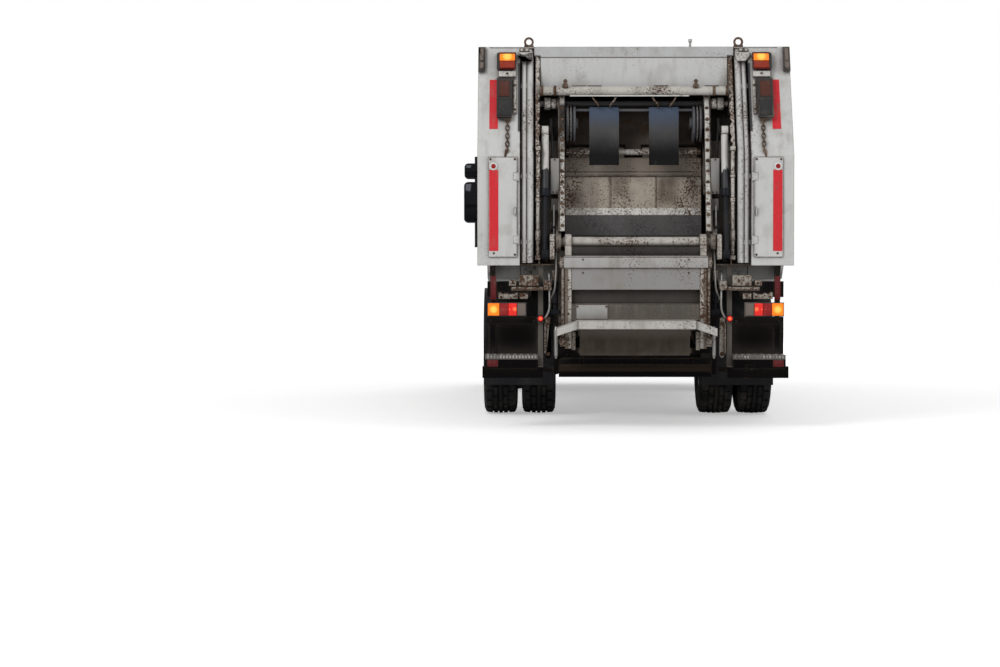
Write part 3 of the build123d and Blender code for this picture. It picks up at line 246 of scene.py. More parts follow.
def lens(name, colour, glow=0.0, hot=(), hotColour=None):
    # Coloured lens with moulded ribs; glow lights it, and hot is where its bulbs are: |X|, Z, reach
    paint = Paint(name, colour, 0.2, IOR=1.49, Specular_IOR_Level=0.12, Coat_Weight=0.12, Coat_Roughness=0.1)
    wave, cross = paint.waves("XZ", lensRibs * 2 * pi)
    paint.bump(wave * 0.5 + cross * 0.5, 0.5, 0.002)
    dirty = paint.above(paint.noise(14, 5), 0.52, 0.8)
    paint.paintWith(paint.blend(dirty * 0.35, colour, dirtColours["grimeAndShade"]))
    if glow:
        paint.shader.inputs["Emission Strength"].default_value = glow
        lit = paint.blend(paint.noise(26, 2), [c * 0.55 for c in colour], [min(c * 1.2, 1) for c in colour])
        for x, z, reach in hot:
            acrossBulb, overBulb = paint.axis("X").size() - x, paint.axis("Z") - z
            ring = acrossBulb * acrossBulb + overBulb * overBulb
            lit = paint.blend(paint.above(ring, reach * reach, 0.0), lit, hotColour)
        paint.give("Emission Color", lit)
    return paint


def tape(name, colour):
    # Retroreflective tape: a fine honeycomb, scratches and grubby edges
    paint = Paint(name, colour, 0.36, Specular_IOR_Level=0.25)
    comb = paint.above(paint.cells(95, "DISTANCE_TO_EDGE"), 0.02, 0.07)
    tone = paint.blend(comb, [c * 0.78 for c in colour], colour)
    scuffs = paint.above(paint.noise(26, 7, (1, 1, 0.5), 2.0, 0.65), 0.60, 0.66)
    tone = paint.blend(scuffs * 0.75, tone, dirtColours["grimeAndShade"])
    film = paint.above(paint.noise(6, 4, (3, 3, 0.8)), 0.5, 0.8)
    paint.paintWith(paint.blend(film * 0.3, tone, dirtColours["streak"]))
    paint.bump(comb, 0.08, 0.0005)
    return paint


paints = {
    "whitePaint": wornPaint("whitePaint", (0.56, 0.56, 0.548), 0.22, 0.55, 0.75,
                            heavy=(0.55, ("|X", 0.735, 0.885)),
                            smooth=(((0.012, 0.012, 0.014), ("|X", 0.870, 0.8765)),
                                    ((0.008, 0.008, 0.010), ("|X", 0.868, 0.894), ("Z", 2.26, 2.80)))),
    # Tailgate roof: a greyer upper strip, and under its edge a dark line of painted shadow with rust in it
    "panelPaint": wornPaint("panelPaint", (0.505, 0.505, 0.50), 0.3, 0.55, 0.7, bands=(
        ((0.43, 0.435, 0.435), ("Z", 2.850, 2.940)), ((0.04, 0.026, 0.018), ("Z", 2.8415, 2.8495)))),
    "sidePaint": wornPaint("sidePaint", (0.58, 0.58, 0.565), 0.08, 0.4, 0.5),
    "cabPaint": wornPaint("cabPaint", (0.62, 0.62, 0.61), -0.1, 0.2, 0.35, 0.28),
    "rubbedWhite": wornPaint("rubbedWhite", (0.55, 0.535, 0.505), 1.0, 0.8, 0.9),
    "rustyWhite": wornPaint("rustyWhite", (0.52, 0.49, 0.45), 1.45, 1.0, 0.8, 0.5),
    # Darkened white: dirt, and painted shade for the parts that sit in the tail's shadow
    "grimyShadedWhite": wornPaint("grimyShadedWhite", (0.33, 0.305, 0.27), 1.4, 1.1, 1.1, 0.5, shine=0.15),
    "recessPaint": wornPaint("recessPaint", (0.10, 0.085, 0.07), 0.9, 0.5, 1.0, shine=0.1,
                             smooth=(((0.008, 0.007, 0.006), ("Z", 2.20, 2.56)),)),
    "coverGrey": wornPaint("coverGrey", (0.25, 0.245, 0.235), 0.3, 0.6, 0.7, 0.5, shine=0.15),
    "frameDark": workSteel("frameDark", (0.024, 0.023, 0.022), 0.3, 0.1, 0.65, 0.08),
    "hopperSteel": workSteel("hopperSteel", (0.17, 0.15, 0.13), 0.75, 0.55, 0.48),
    "darkSteel": workSteel("darkSteel", (0.034, 0.032, 0.030), 0.45, 0.3, 0.5, 0.12),
    "rustIron": workSteel("rustIron", (0.14, 0.095, 0.065), 0.95, 0.35, 0.65),
    "rodSteel": Paint("rodSteel", (0.45, 0.46, 0.48), 0.16, 1.0),
    "blackRod": moulded("blackRod", (0.012, 0.013, 0.016), 0.3, 0.04),
    "blackPlastic": moulded("blackPlastic", (0.016, 0.016, 0.018), 0.5, 0.10),
    "lampHousing": moulded("lampHousing", (0.05, 0.045, 0.042), 0.45, 0.35),
    "flapRubber": moulded("flapRubber", (0.062, 0.061, 0.061), 0.42, 0.05),
    "hoseRubber": moulded("hoseRubber", (0.014, 0.014, 0.014), 0.5, 0.12),
    "redTape": tape("redTape", (0.64, 0.024, 0.034)),
    "whiteTape": tape("whiteTape", (0.66, 0.66, 0.64)),
    "amberGlow": lens("amberGlow", (0.75, 0.16, 0.008), 0.9,
                      ((0.976, 2.850, 0.044), (1.076, 0.907, 0.036)), (1.0, 0.62, 0.12)),
    "redGlow": lens("redGlow", (0.50, 0.015, 0.012), 0.9,
                    ((0.915, 0.910, 0.020), (0.955, 0.907, 0.007), (0.72, 0.836, 0.016)), (1.0, 0.22, 0.07)),
    "redLens": lens("redLens", (0.24, 0.010, 0.010), 0.25,
                    ((0.985, 0.908, 0.006), (1.010, 0.908, 0.006)), (1.0, 0.15, 0.10)),
    "brownLens": lens("brownLens", (0.25, 0.022, 0.007), 0.12),
    "darkRedLens": lens("darkRedLens", (0.075, 0.019, 0.010)),
    "maroonLens": lens("maroonLens", (0.105, 0.008, 0.009)),
    "blackLens": lens("blackLens", (0.020, 0.020, 0.020)),
    "smokeLens": lens("smokeLens", (0.17, 0.135, 0.115)),
    "tyreRubber": moulded("tyreRubber", (0.017, 0.017, 0.017), 0.8, 0.22),
    "rimPaint": wornPaint("rimPaint", (0.42, 0.42, 0.41), 0.2, 0.6, 0.8),
    "clearGlass": Paint("clearGlass", (0.05, 0.075, 0.072), 0.03, Alpha=0.30, IOR=1.5, Coat_Weight=0.4),
    # Mirror glass near black, a painted dark reflection
    "mirrorFace": Paint("mirrorFace", (0.010, 0.011, 0.012), 0.06, 1.0),
    "amberLens": lens("amberLens", (0.62, 0.20, 0.02), 0.1),
    "seatVinyl": moulded("seatVinyl", (0.03, 0.032, 0.038), 0.5, 0.1),
    "clearLens": lens("clearLens", (0.55, 0.5, 0.47)),
    "galvanised": workSteel("galvanised", (0.36, 0.35, 0.33), 0.3, 0.7, 0.45),
}

# The packer blade and the lifter change colour by height, strip by strip
paints["bladeFace"] = wornPaint("bladeFace", (0.445, 0.385, 0.315), 1.0, 1.1, 0.7, 0.5, bands=(
    ((0.70, 0.675, 0.64), ("Z", 1.632, 1.684)), ((0.06, 0.045, 0.033), ("Z", 1.926, 1.946)),
    ((0.20, 0.165, 0.13), ("Z", 1.946, 2.20))),
    smooth=(((0.062, 0.061, 0.064), ("Z", 1.40, 1.630)),),
    stains=(((0.10, 0.068, 0.044), ("X", -0.16, -0.04), ("Z", 1.78, 1.93)),
            ((0.11, 0.075, 0.048), ("X", 0.19, 0.34), ("Z", 1.72, 1.93)),
            ((0.09, 0.065, 0.045), ("X", -0.50, -0.40), ("Z", 1.70, 1.82))))
# The lifter is darker panel by panel towards the bottom, with near-black bands between: painted shade under
# the tail, and some dirt; the blank plate is lighter
paints["lifterPaint"] = wornPaint("lifterPaint", (0.50, 0.485, 0.46), 0.8, 0.8, 0.85, 0.45, bands=(
    ((0.385, 0.375, 0.365), ("Z", 1.2155, 1.312)), ((0.28, 0.275, 0.27), ("Z", 1.057, 1.215)),
    ((0.095, 0.085, 0.074), ("Z", 0.834, 0.951)),
    ((0.40, 0.395, 0.385), ("Z", 0.834, 0.951), ("X", -0.452, -0.211))), shine=0.14, smooth=(
    ((0.009, 0.007, 0.006), ("Z", 1.313, 1.383)), ((0.025, 0.020, 0.016), ("Z", 0.952, 1.056))))
# Shafts: the end sleeves are white and painted brighter still, a painted highlight; the discs between are
# dark bluish, near black just under the upper tube
paints["shaftPaint"] = wornPaint("shaftPaint", (0.49, 0.47, 0.435), 1.0, 0.8, 0.7, 0.45, bands=(
    ((0.82, 0.79, 0.74), ("|X", 0.545, 0.72), ("Z", 2.43, 2.545)),), smooth=(
    ((0.052, 0.055, 0.064), ("X", -0.540, 0.540), ("Z", 2.15, 2.530)),
    ((0.006, 0.005, 0.005), ("X", -0.540, 0.540), ("Z", 2.458, 2.530))))
# Near black: the black steps and bars under the tail, darkened further as painted shade, with lighter bands
# on posts and boards
paints["stepPaint"] = wornPaint(
    "stepPaint", (0.0035, 0.003, 0.003), -0.1, 0.0, 0.4, 0.65, shine=0.03, bands=(
    ((0.024, 0.016, 0.011), ("|X", -0.10, 0.580), ("Z", 0.432, 0.482)),
    ((0.14, 0.125, 0.11), ("|X", 0.695, 0.739), ("Z", 0.47, 1.24)),
    ((0.150, 0.128, 0.108), ("|X", -0.10, 0.430), ("Z", 0.545, 0.760)),
    ((0.14, 0.132, 0.12), ("|X", 0.735, 1.15), ("Z", 0.528, 0.566))),
    stains=(((0.060, 0.045, 0.034), ("|X", -0.10, 0.43), ("Z", 0.545, 0.70)),))

# The flaps: a bluish painted highlight on top where the light falls, darker lower down, scuffed all over
flap = paints["flapRubber"]
flapHeight = flap.axis("Z") + flap.noise(6, 6, (1, 1, 1), 2.0, 0.7) * 0.12
lit = flap.blend(flap.above(flapHeight, 2.32, 2.50), flap.tone(), (0.066, 0.088, 0.130))
darkerBelow = flap.blend(flap.above(flapHeight, 2.36, 2.14), lit, (0.0075, 0.0075, 0.0075))
scuffed = flap.above(flap.noise(16, 8, (1, 1, 0.5), 8.0, 0.7), 0.60, 0.72)
flap.paintWith(flap.blend(scuffed * 0.35, darkerBelow, (0.06, 0.062, 0.066)))
paints["armPaint"] = wornPaint("armPaint", (0.48, 0.455, 0.42), 1.2, 1.0, 1.0, 0.5, bands=(
    ((0.15, 0.12, 0.095), ("|X", 0.511, 0.536), ("Z", 0.56, 1.215)),), shine=0.15)
paints["carriageSteel"] = workSteel("carriageSteel", (0.085, 0.068, 0.056), 0.5, 0.1, 0.6, 0.1)

# The lift barrels: light above, and below a ragged edge the paint is gone
barrel = paints["barrelPaint"] = wornPaint("barrelPaint", (0.56, 0.55, 0.52), 0.3, 0.4, 0.6, 0.4)
ragged = barrel.axis("Z") + barrel.noise(24, 4, (1, 1, 0.35)) * 0.16
barrel.paintWith(barrel.blend(barrel.above(ragged, 2.052, 2.044), barrel.tone(), (0.022, 0.022, 0.025)))


nodePaints = {
    "whitePaint": ("rear_columns", "tailgate_skins"),
    "panelPaint": ("tailgate_roof",),
    "sidePaint": ("body_sides", "body_roof", "body_front_wall", "body_rear_frame"),
    "cabPaint": ("cab_front", "cab_sides", "cab_rear_wall", "cab_roof", "door_left", "door_right"),
    "recessPaint": ("recess_panels",),
    "frameDark": ("chassis_frame", "engine", "front_axle", "rear_axle", "side_tanks", "entry_steps",
                  "tow_coupling", "knuckle_left", "knuckle_right", "cab_floor"),
    "stepPaint": ("rear_steps",),
    "hopperSteel": ("hopper_trough", "body_floor", "hopper_cheeks", "ejector_plate"),
    "carriageSteel": ("carriage",),
    "rustIron": ("lifting_eyes",),
    "blackPlastic": ("bumper", "wheel_guards", "dashboard", "mirrors"),
    "lampHousing": ("rear_lamps",),
    "flapRubber": ("rubber_flaps",),
    "bladeFace": ("packer_blade",),
    "lifterPaint": ("lift_panels",),
    "armPaint": ("lift_arms",),
    "barrelPaint": ("lift_barrels",),
    "shaftPaint": ("cross_shafts",),
    "blackRod": ("lift_rods",),
    "rodSteel": ("tail_rods",),
    "galvanised": ("tail_barrels",),
    "clearGlass": ("windscreen", "door_glass_left", "door_glass_right"),
    "clearLens": ("head_lamps",),
    "rimPaint": ("front_rim_left", "front_rim_right", "rear_rims_left", "rear_rims_right"),
    "tyreRubber": ("front_tyre_left", "front_tyre_right", "rear_tyres_left", "rear_tyres_right"),
    "seatVinyl": ("seats",),
}


def cover(obj, paint):
    # The object's own material slots all get this paint
    if not obj.data.materials:
        obj.data.materials.append(paint.material)
    for slot in obj.material_slots:
        slot.material = paint.material


for paintName, coated in nodePaints.items():
    for nodeName in coated:
        cover(nodes[nodeName], paints[paintName])
print("frame painted")


# Modelling by operators: everything is deselected first, and a piece grows in one mesh in edit mode
def clearSelection():
    if bpy.context.object and bpy.context.object.mode != "OBJECT":
        bpy.ops.object.mode_set(mode="OBJECT")
    bpy.ops.object.select_all(action="DESELECT")


def modify(obj, kind, **settings):
    modifier = obj.modifiers.new(kind, kind)
    for key, value in settings.items():
        setattr(modifier, key, value)
    bpy.context.view_layer.objects.active = obj
    bpy.ops.object.modifier_apply(modifier=modifier.name)


def moveChosen(obj, spots):
    # Puts the selected vertices at the spots, a list of as many points or a function of the old place
    mesh = bmesh.from_edit_mesh(obj.data)
    chosen = [vert for vert in mesh.verts if vert.select]
    for index, vert in enumerate(chosen):
        vert.co = spots(vert.co) if callable(spots) else spots[index]
    bmesh.update_edit_mesh(obj.data)


bothSides = (-1, 1)
seamWidth = 0.00002  # vertices nearer than this are one


class Piece:
    # One mesh in the making; where its side is -1, what is added is mirrored in X
    def __init__(self, name):
        clearSelection()
        bpy.ops.mesh.primitive_plane_add()
        self.obj = bpy.context.object
        self.obj.name = self.obj.data.name = name
        self.side = 1
        bpy.ops.object.mode_set(mode="EDIT")
        bpy.ops.mesh.delete(type="VERT")

    def spot(self, place):
        return Vector((self.side * place[0], place[1], place[2]))

    def block(self, x, y, z, turn=(0, 0, 0)):
        low, high = zip(*(sorted(span) for span in ([self.side * value for value in x], y, z)))
        middle = [(a + b) / 2 for a, b in zip(low, high)]
        bpy.ops.mesh.primitive_cube_add(size=1, location=middle, rotation=turn,
                                        scale=[b - a for a, b in zip(low, high)])

    def rod(self, start, end, radius, sides=16, tip=None):
        start, end = self.spot(start), self.spot(end)
        turn = (end - start).to_track_quat("Z", "Y").to_euler()
        bpy.ops.mesh.primitive_cone_add(vertices=sides, radius1=radius,
                                        radius2=radius if tip is None else tip,
                                        depth=(end - start).length, end_fill_type="NGON",
                                        location=(start + end) / 2, rotation=turn)

    def bolts(self, places, axis="Y", radius=0.009, height=0.006):
        # Hexagon heads with a washer under each; Y stands out to the rear, +Y to the front
        out = Vector({"X": (1, 0, 0), "Y": (0, -1, 0), "+Y": (0, 1, 0), "Z": (0, 0, 1)}[axis])
        for place in places:
            spot = Vector(place)
            self.rod(spot, spot + out * height * 0.35, radius * 1.5, 10)
            self.rod(spot + out * height * 0.35, spot + out * (height + 0.002), radius, 6, radius * 0.92)

    def plate(self, outline, push):
        # An outline of points in space, extruded by push
        bpy.ops.mesh.primitive_circle_add(vertices=len(outline), fill_type="NGON")
        moveChosen(self.obj, [self.spot(place) for place in outline])
        bpy.ops.mesh.extrude_region_move(TRANSFORM_OT_translate={"value": self.spot(push)})

    def turned(self, outline, centre, axis, steps=32):
        # A closed outline of (distance along the axis, radius) spun round it
        bpy.ops.mesh.primitive_circle_add(vertices=len(outline), fill_type="NOTHING")
        middle, along = self.spot(centre), self.spot(axis)
        outward = Vector((0, 0, 1)) if abs(along.z) < 0.5 else Vector((1, 0, 0))
        moveChosen(self.obj, [middle + along * distance + outward * radius for distance, radius in outline])
        bpy.ops.mesh.spin(steps=steps, angle=2 * pi, center=middle, axis=along)

    def close(self):
        bpy.ops.mesh.select_all(action="SELECT")
        bpy.ops.mesh.remove_doubles(threshold=seamWidth)
        bpy.ops.mesh.normals_make_consistent(inside=False)

    def done(self, body, paint, soften=0.0015, steps=2):
        self.close()
        bpy.ops.object.mode_set(mode="OBJECT")
        if soften:
            modify(self.obj, "BEVEL", width=soften, segments=steps, limit_method="ANGLE",
                   harden_normals=False)
        return settle(self.obj, body, paint)


def settle(obj, body, paint):
    clearSelection()
    obj.select_set(True)
    bpy.context.view_layer.objects.active = obj
    bpy.ops.object.transform_apply(location=True, rotation=True, scale=True)
    bpy.ops.object.shade_smooth_by_angle(angle=radians(40))
    obj.data.materials.clear()
    obj.data.materials.append(paints[paint].material)
    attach(obj, body)
    return obj


def pipe(name, routes, radius, bend, body, paint, sides=3):
    # Bent pipes or wires: each route is a chain of points whose corners are rounded
    clearSelection()
    made = []
    for route in routes:
        bpy.ops.mesh.primitive_plane_add()
        obj = bpy.context.object
        bpy.ops.object.mode_set(mode="EDIT")
        bpy.ops.mesh.merge(type="CENTER")
        moveChosen(obj, [route[0]])
        for start, end in zip(route, route[1:]):
            shift = Vector(end) - Vector(start)
            bpy.ops.mesh.extrude_region_move(TRANSFORM_OT_translate={"value": shift})
        bpy.ops.mesh.select_all(action="SELECT")
        bpy.ops.mesh.bevel(offset=bend, segments=5, affect="VERTICES")
        bpy.ops.object.mode_set(mode="OBJECT")
        bpy.ops.object.convert(target="CURVE")
        obj.data.bevel_depth, obj.data.bevel_resolution, obj.data.use_fill_caps = radius, sides, True
        bpy.ops.object.convert(target="MESH")
        made.append(obj)
        clearSelection()
    for obj in made:
        obj.select_set(True)
    bpy.context.view_layer.objects.active = made[0]
    if len(made) > 1:
        bpy.ops.object.join()
    made[0].name = made[0].data.name = name
    return settle(made[0], body, paint)


def mirrored(routes):
    # Each route on both sides
    return [[(side * x, y, z) for x, y, z in route] for route in routes for side in bothSides]


def blockSet(name, blocks, body, paint, soften, steps=2):
    # Blocks that are the same on both sides
    piece = Piece(name)
    for piece.side in bothSides:
        for spans in blocks:
            piece.block(*spans)
    piece.done(body, paint, soften, steps)


def boltSet(name, rows, soften=0.0006):
    # Rusty bolt heads on both sides of the tailgate; a row is its places, radius and height
    piece = Piece(name)
    for piece.side in bothSides:
        for places, radius, height in rows:
            piece.bolts(places, "Y", radius, height)
    piece.done("tailgate", "rustIron", soften, 1)


columns = {"face": -3.43, "bend": 2.07, "lean": 0.44, "rise": 0.86}
recessWall = -3.139


def columnY(z):
    # The columns' rear face: upright, then leaning forward
    return columns["face"] + max(0, z - columns["bend"]) * columns["lean"] / columns["rise"]


def strip(piece, x, z, out, thick):
    # A strip on the columns' rear face, out from it and this thick
    heights = sorted([*z] + ([columns["bend"]] if z[0] < columns["bend"] < z[1] else []))
    for low, high in zip(heights, heights[1:]):
        outline = [(x[0], columnY(low) - out, low), (x[1], columnY(low) - out, low),
                   (x[1], columnY(high) - out, high), (x[0], columnY(high) - out, high)]
        piece.plate(outline, (0, -thick, 0))


# Tape, reflectors and lamps on the columns
tapes = {"upper": ((1.046, 1.111), (2.279, 2.667), 0.0), "lower": ((1.040, 1.110), (1.350, 1.965), 0.014)}
piece = Piece("columnTapes")
for piece.side in bothSides:
    for xSpan, zSpan, out in tapes.values():
        strip(piece, xSpan, zSpan, out, 0.0012)
piece.done("tailgate", "redTape", 0)

lamps = {
    # Lens name: x span, z span, how far its housing stands out, paint
    "warningLampTops": ((0.918, 1.034), (2.815, 2.869), 0.064, "amberGlow"),
    "warningLampFeet": ((0.918, 1.034), (2.757, 2.811), 0.064, "brownLens"),
    "lampBoxTops": ((0.957, 1.037), (2.534, 2.654), 0.060, "darkRedLens"),
    "lampBoxFeet": ((0.950, 1.044), (2.384, 2.518), 0.060, "blackLens"),
}
for name, (xSpan, zSpan, out, paint) in lamps.items():
    piece = Piece(name)
    for piece.side in bothSides:
        strip(piece, xSpan, zSpan, out, 0.009)
    piece.done("tailgate", paint, 0.003, 3)


def rounded(x, z, out):
    # An upright outline with round ends, this far out from the columns
    middle, half = (x[0] + x[1]) / 2, (x[1] - x[0]) / 2
    outline = []
    for centre, start in ((z[1] - half, 0), (z[0] + half, pi)):
        for step in range(9):
            angle = start + pi * step / 8
            spot = centre + half * sin(angle)
            outline.append((middle + half * cos(angle), columnY(spot) - out, spot))
    return outline


markerLamp = {"x": (1.153, 1.194), "housing": (2.742, 2.922), "lens": (2.818, 2.914),
              "lower": (2.756, 2.806), "out": 0.036}
for name, paint, inset, span, out in (("markerLampCases", "lampHousing", 0.0, "housing", 0.0),
                                      ("markerLampLenses", "smokeLens", 0.007, "lens", 0.010)):
    piece = Piece(name)
    outer, out = (markerLamp["x"][0] + inset, markerLamp["x"][1] - inset), markerLamp["out"] + out
    for piece.side in bothSides:
        piece.plate(rounded(outer, markerLamp[span], out), (0, -0.010, 0))
        if span == "lens":
            piece.plate(rounded(outer, markerLamp["lower"], out), (0, -0.006, 0))
    piece.done("tailgate", paint, 0.002, 2)

# Frames round the warning lamps, and the bolted brackets under them
piece = Piece("warningLampFrames")
for piece.side in bothSides:
    strip(piece, (0.908, 1.045), (2.746, 2.882), 0.020, 0.042)
piece.done("tailgate", "maroonLens", 0.004, 3)
piece = Piece("lampBrackets")
for piece.side in bothSides:
    strip(piece, (0.909, 1.043), (2.688, 2.734), 0.0, 0.046)
    strip(piece, (0.905, 0.928), (2.400, 2.664), 0.0, 0.022)
piece.done("tailgate", "rubbedWhite", 0.002)
boltSet("bracketBolts", (([(0.976, columnY(2.712) - 0.046, 2.712)], 0.007, 0.004),
                         ([(0.917, columnY(z) - 0.022, z) for z in (2.43, 2.62)], 0.008, 0.005)))

# Spread heads on the columns' tubes
piece = Piece("tubeHeads")
for piece.side in bothSides:
    outline = [(x, columnY(z) - 0.010, z) for x, z in (
        (0.789, 2.813), (0.858, 2.813), (0.894, 2.856), (0.894, 2.884), (0.780, 2.884), (0.780, 2.83))]
    piece.plate(outline, (0, -0.016, 0))
    for x in (0.826, 0.866):
        piece.bolts([(x, columnY(2.902) - 0.004, 2.902)], "Y", 0.013, 0.018)
piece.done("tailgate", "rubbedWhite", 0.002)

rimWidth = 0.006
piece = Piece("lampRims")
for piece.side in bothSides:
    for (near, far), (foot, top), out, _ in lamps.values():
        for x in ((near - rimWidth, near), (far, far + rimWidth)):
            strip(piece, x, (foot - rimWidth, top + rimWidth), out - 0.006, 0.012)
    strip(piece, (0.950, 1.046), (2.358, 2.370), 0.0, 0.045)
piece.done("tailgate", "lampHousing", 0.002)

tailLenses = {
    # From the middle outwards: x span, paint
    "reverseLenses": ((0.832, 0.896), "smokeLens"), "tailLensesInner": ((0.901, 0.963), "redGlow"),
    "tailLensesOuter": ((0.965, 1.030), "redLens"), "turnLenses": ((1.033, 1.119), "amberGlow"),
}
for name, (xSpan, paint) in tailLenses.items():
    blockSet(name, ((xSpan, (-3.466, -3.454), (0.861, 0.954)),), "tailgate", paint, 0.004, 3)

piece = Piece("sideMarkers")
for piece.side in bothSides:
    piece.turned(((0, 0.0), (0, 0.021), (0.010, 0.020), (0.016, 0.014), (0.018, 0.0)),
                 (0.72, -3.374, 0.836), (0, -1, 0), 24)
piece.done("tailgate", "redGlow", 0)
piece = Piece("markerCups")
for piece.side in bothSides:
    piece.turned(((0, 0.0), (0, 0.028), (0.026, 0.028), (0.028, 0.022), (0.023, 0.021), (0.023, 0.0)),
                 (0.72, -3.349, 0.836), (0, -1, 0), 24)
    piece.bolts([(x, -3.349, 0.815) for x in (0.67, 0.77, 1.10)], "Y", 0.006, 0.004)
piece.done("tailgate", "blackPlastic", 0.001)

reflectorAt = (1.077, -3.444, 1.992)
piece = Piece("reflectorRings")
for piece.side in bothSides:
    piece.turned(((0, 0.018), (0, 0.031), (0.005, 0.031), (0.007, 0.027), (0.007, 0.018)),
                 reflectorAt, (0, -1, 0), 32)
piece.done("tailgate", "whiteTape", 0)
# Red reflector discs: their lens paint glows though they are no lamps, a painted glow
piece = Piece("reflectorDiscs")
for piece.side in bothSides:
    piece.turned(((0, 0.0), (0, 0.019), (0.008, 0.018), (0.010, 0.0)), reflectorAt, (0, -1, 0), 24)
piece.done("tailgate", "redLens", 0.0008)
blockSet("stepReflectors", (((1.044, 1.124), (-3.446, -3.4395), (0.472, 0.524)),), "tailgate",
         "maroonLens", 0.0015)


# Cover plates: rims, bolts and the small hinge at the inner edge
coverPlate = {"inner": 0.897, "z": (1.305, 2.060), "face": -3.444}
piece = Piece("coverPlateTrim")
inner, face = coverPlate["inner"], coverPlate["face"]
for piece.side in bothSides:
    piece.block((inner, inner + 0.007), (face - 0.003, face + 0.01), coverPlate["z"])
    for z in (1.40, 1.88):
        piece.rod((inner - 0.008, face + 0.004, z), (inner - 0.008, face + 0.004, z + 0.07), 0.009)
        piece.block((inner - 0.008, inner + 0.03), (face - 0.004, face), (z + 0.006, z + 0.064))
    piece.block((inner + 0.01, inner + 0.022), (face - 0.020, face), (1.62, 1.68))
piece.done("tailgate", "whitePaint", 0.001)
boltSet("columnBolts", (([(1.075, face, 1.333), (1.10, face, 2.045), (0.915, face, 2.045),
                          (0.915, face, 1.322)], 0.006, 0.004),))


# Hook chains on the columns
chain = {"x": 0.973, "top": 2.350, "links": 8, "pitch": 0.031, "lean": radians(27)}
piece = Piece("hookChains")
for piece.side in bothSides:
    for step in range(chain["links"]):
        z = chain["top"] - step * chain["pitch"]
        y = columnY(z) - 0.016
        turn = chain["lean"] if z > columns["bend"] else 0
        spot = piece.spot((chain["x"], y, z))
        bpy.ops.mesh.primitive_torus_add(location=spot, major_radius=0.014, minor_radius=0.0042,
                                         major_segments=14, minor_segments=6,
                                         rotation=(pi / 2 - turn, 0, pi / 2 * (step % 2)))
        bpy.ops.transform.resize(value=(1, 1, 1.6), center_override=spot)
    foot = chain["top"] - chain["links"] * chain["pitch"]
    y = columnY(foot) - 0.006
    hook = [(chain["x"] + a, y, foot + b) for a, b in (
        (-0.014, 0.02), (0.014, 0.02), (0.022, -0.02), (0.022, -0.13), (0.008, -0.155), (-0.018, -0.15),
        (-0.026, -0.12), (-0.014, -0.11), (-0.004, -0.13), (0.006, -0.12), (0.006, -0.02))]
    piece.plate(hook, (0, -0.012, 0))
    piece.block((0.950, 0.996), (columnY(2.356) - 0.03, columnY(2.356) - 0.004), (2.345, 2.366))
piece.done("tailgate", "rustIron", 0.0008, 1)


# Toothed plates along the recesses, and bolted posts up the opening's sides
teeth = {"z": (2.135, 2.88), "count": 26, "x": (0.724, 0.758), "depth": 0.020, "behind": 0.028}
low, high = teeth["z"]
outline = []
for index in range(teeth["count"] + 1):
    z = low + (high - low) * index / teeth["count"]
    bite = 0.5 + 0.5 * sin(index * 2.1) if index % 2 else 0
    outline.append((teeth["x"][0] + teeth["depth"] * bite, columnY(z) + teeth["behind"], z))
outline += [(teeth["x"][1], columnY(z) + teeth["behind"], z) for z in (high, low)]
piece = Piece("recessTeeth")
for piece.side in bothSides:
    piece.plate(outline, (0, 0.010, 0))
piece.done("tailgate", "rustyWhite", 0.001, 1)

cheekEdge = ((-3.040, 2.585), (-3.164, 2.398), (-3.252, 2.0), (-3.402, 1.5))
post = {"x": 0.536, "width": 0.038, "y": (-0.024, 0.006), "boltPitch": 0.075}
rear, front = post["y"]
piece = Piece("openingPosts")
for piece.side in bothSides:
    for (yTop, zTop), (yFoot, zFoot) in zip(cheekEdge, cheekEdge[1:]):
        outline = [(post["x"], yTop + rear, zTop), (post["x"], yFoot + rear, zFoot),
                   (post["x"], yFoot + front, zFoot), (post["x"], yTop + front, zTop)]
        piece.plate(outline, (post["width"], 0, 0))
piece.done("tailgate", "rubbedWhite", 0.002)
postBolts = []
for (yTop, zTop), (yFoot, zFoot) in zip(cheekEdge, cheekEdge[1:]):
    steps = max(2, int(hypot(yTop - yFoot, zTop - zFoot) / post["boltPitch"]))
    for share in [(index + 0.5) / steps for index in range(steps)]:
        postBolts.append((0.555, yTop + (yFoot - yTop) * share + rear, zTop + (zFoot - zTop) * share))
boltSet("postBolts", ((postBolts, 0.010, 0.008),))
print("tailgate trim made")


# Pipes, hoses and links round the lift cylinders
liftTop, liftFoot = Vector((0.685, -3.260, 2.270)), Vector((0.685, -3.4642, 1.326))
piece = Piece("barrelCollars")
for piece.side in bothSides:
    piece.turned(((-0.024, 0.0235), (-0.024, 0.0375), (0.034, 0.0375), (0.034, 0.0235)),
                 liftTop.lerp(liftFoot, 0.5), (liftFoot - liftTop).normalized(), 32)
piece.done("lift_barrels", "blackRod", 0.002)

hoseRuns = [
    [(0.640, -3.200, 2.36), (0.640, -3.235, 2.30), (0.628, -3.252, 2.14), (0.628, -3.252, 2.03)],
    [(0.770, -3.140, 2.30), (0.770, -3.175, 2.20), (0.765, -3.19, 1.95), (0.765, -3.19, 1.42),
     (0.765, -3.22, 1.30)],
    [(0.745, -3.140, 1.98), (0.745, -3.180, 1.95), (0.748, -3.19, 1.70), (0.748, -3.19, 1.36)],
]
pipe("recessPipes", mirrored(hoseRuns), 0.010, 0.03, "tailgate", "hoseRubber")
clamps = [((0.735, 0.785), (-3.205, recessWall), (z, z + 0.022)) for z in (1.45, 1.62, 1.78, 1.92)]
blockSet("pipeClamps", clamps + [((0.604, 0.642), (-3.312, -3.141), (1.52, 1.54))], "tailgate",
         "darkSteel", 0.001)

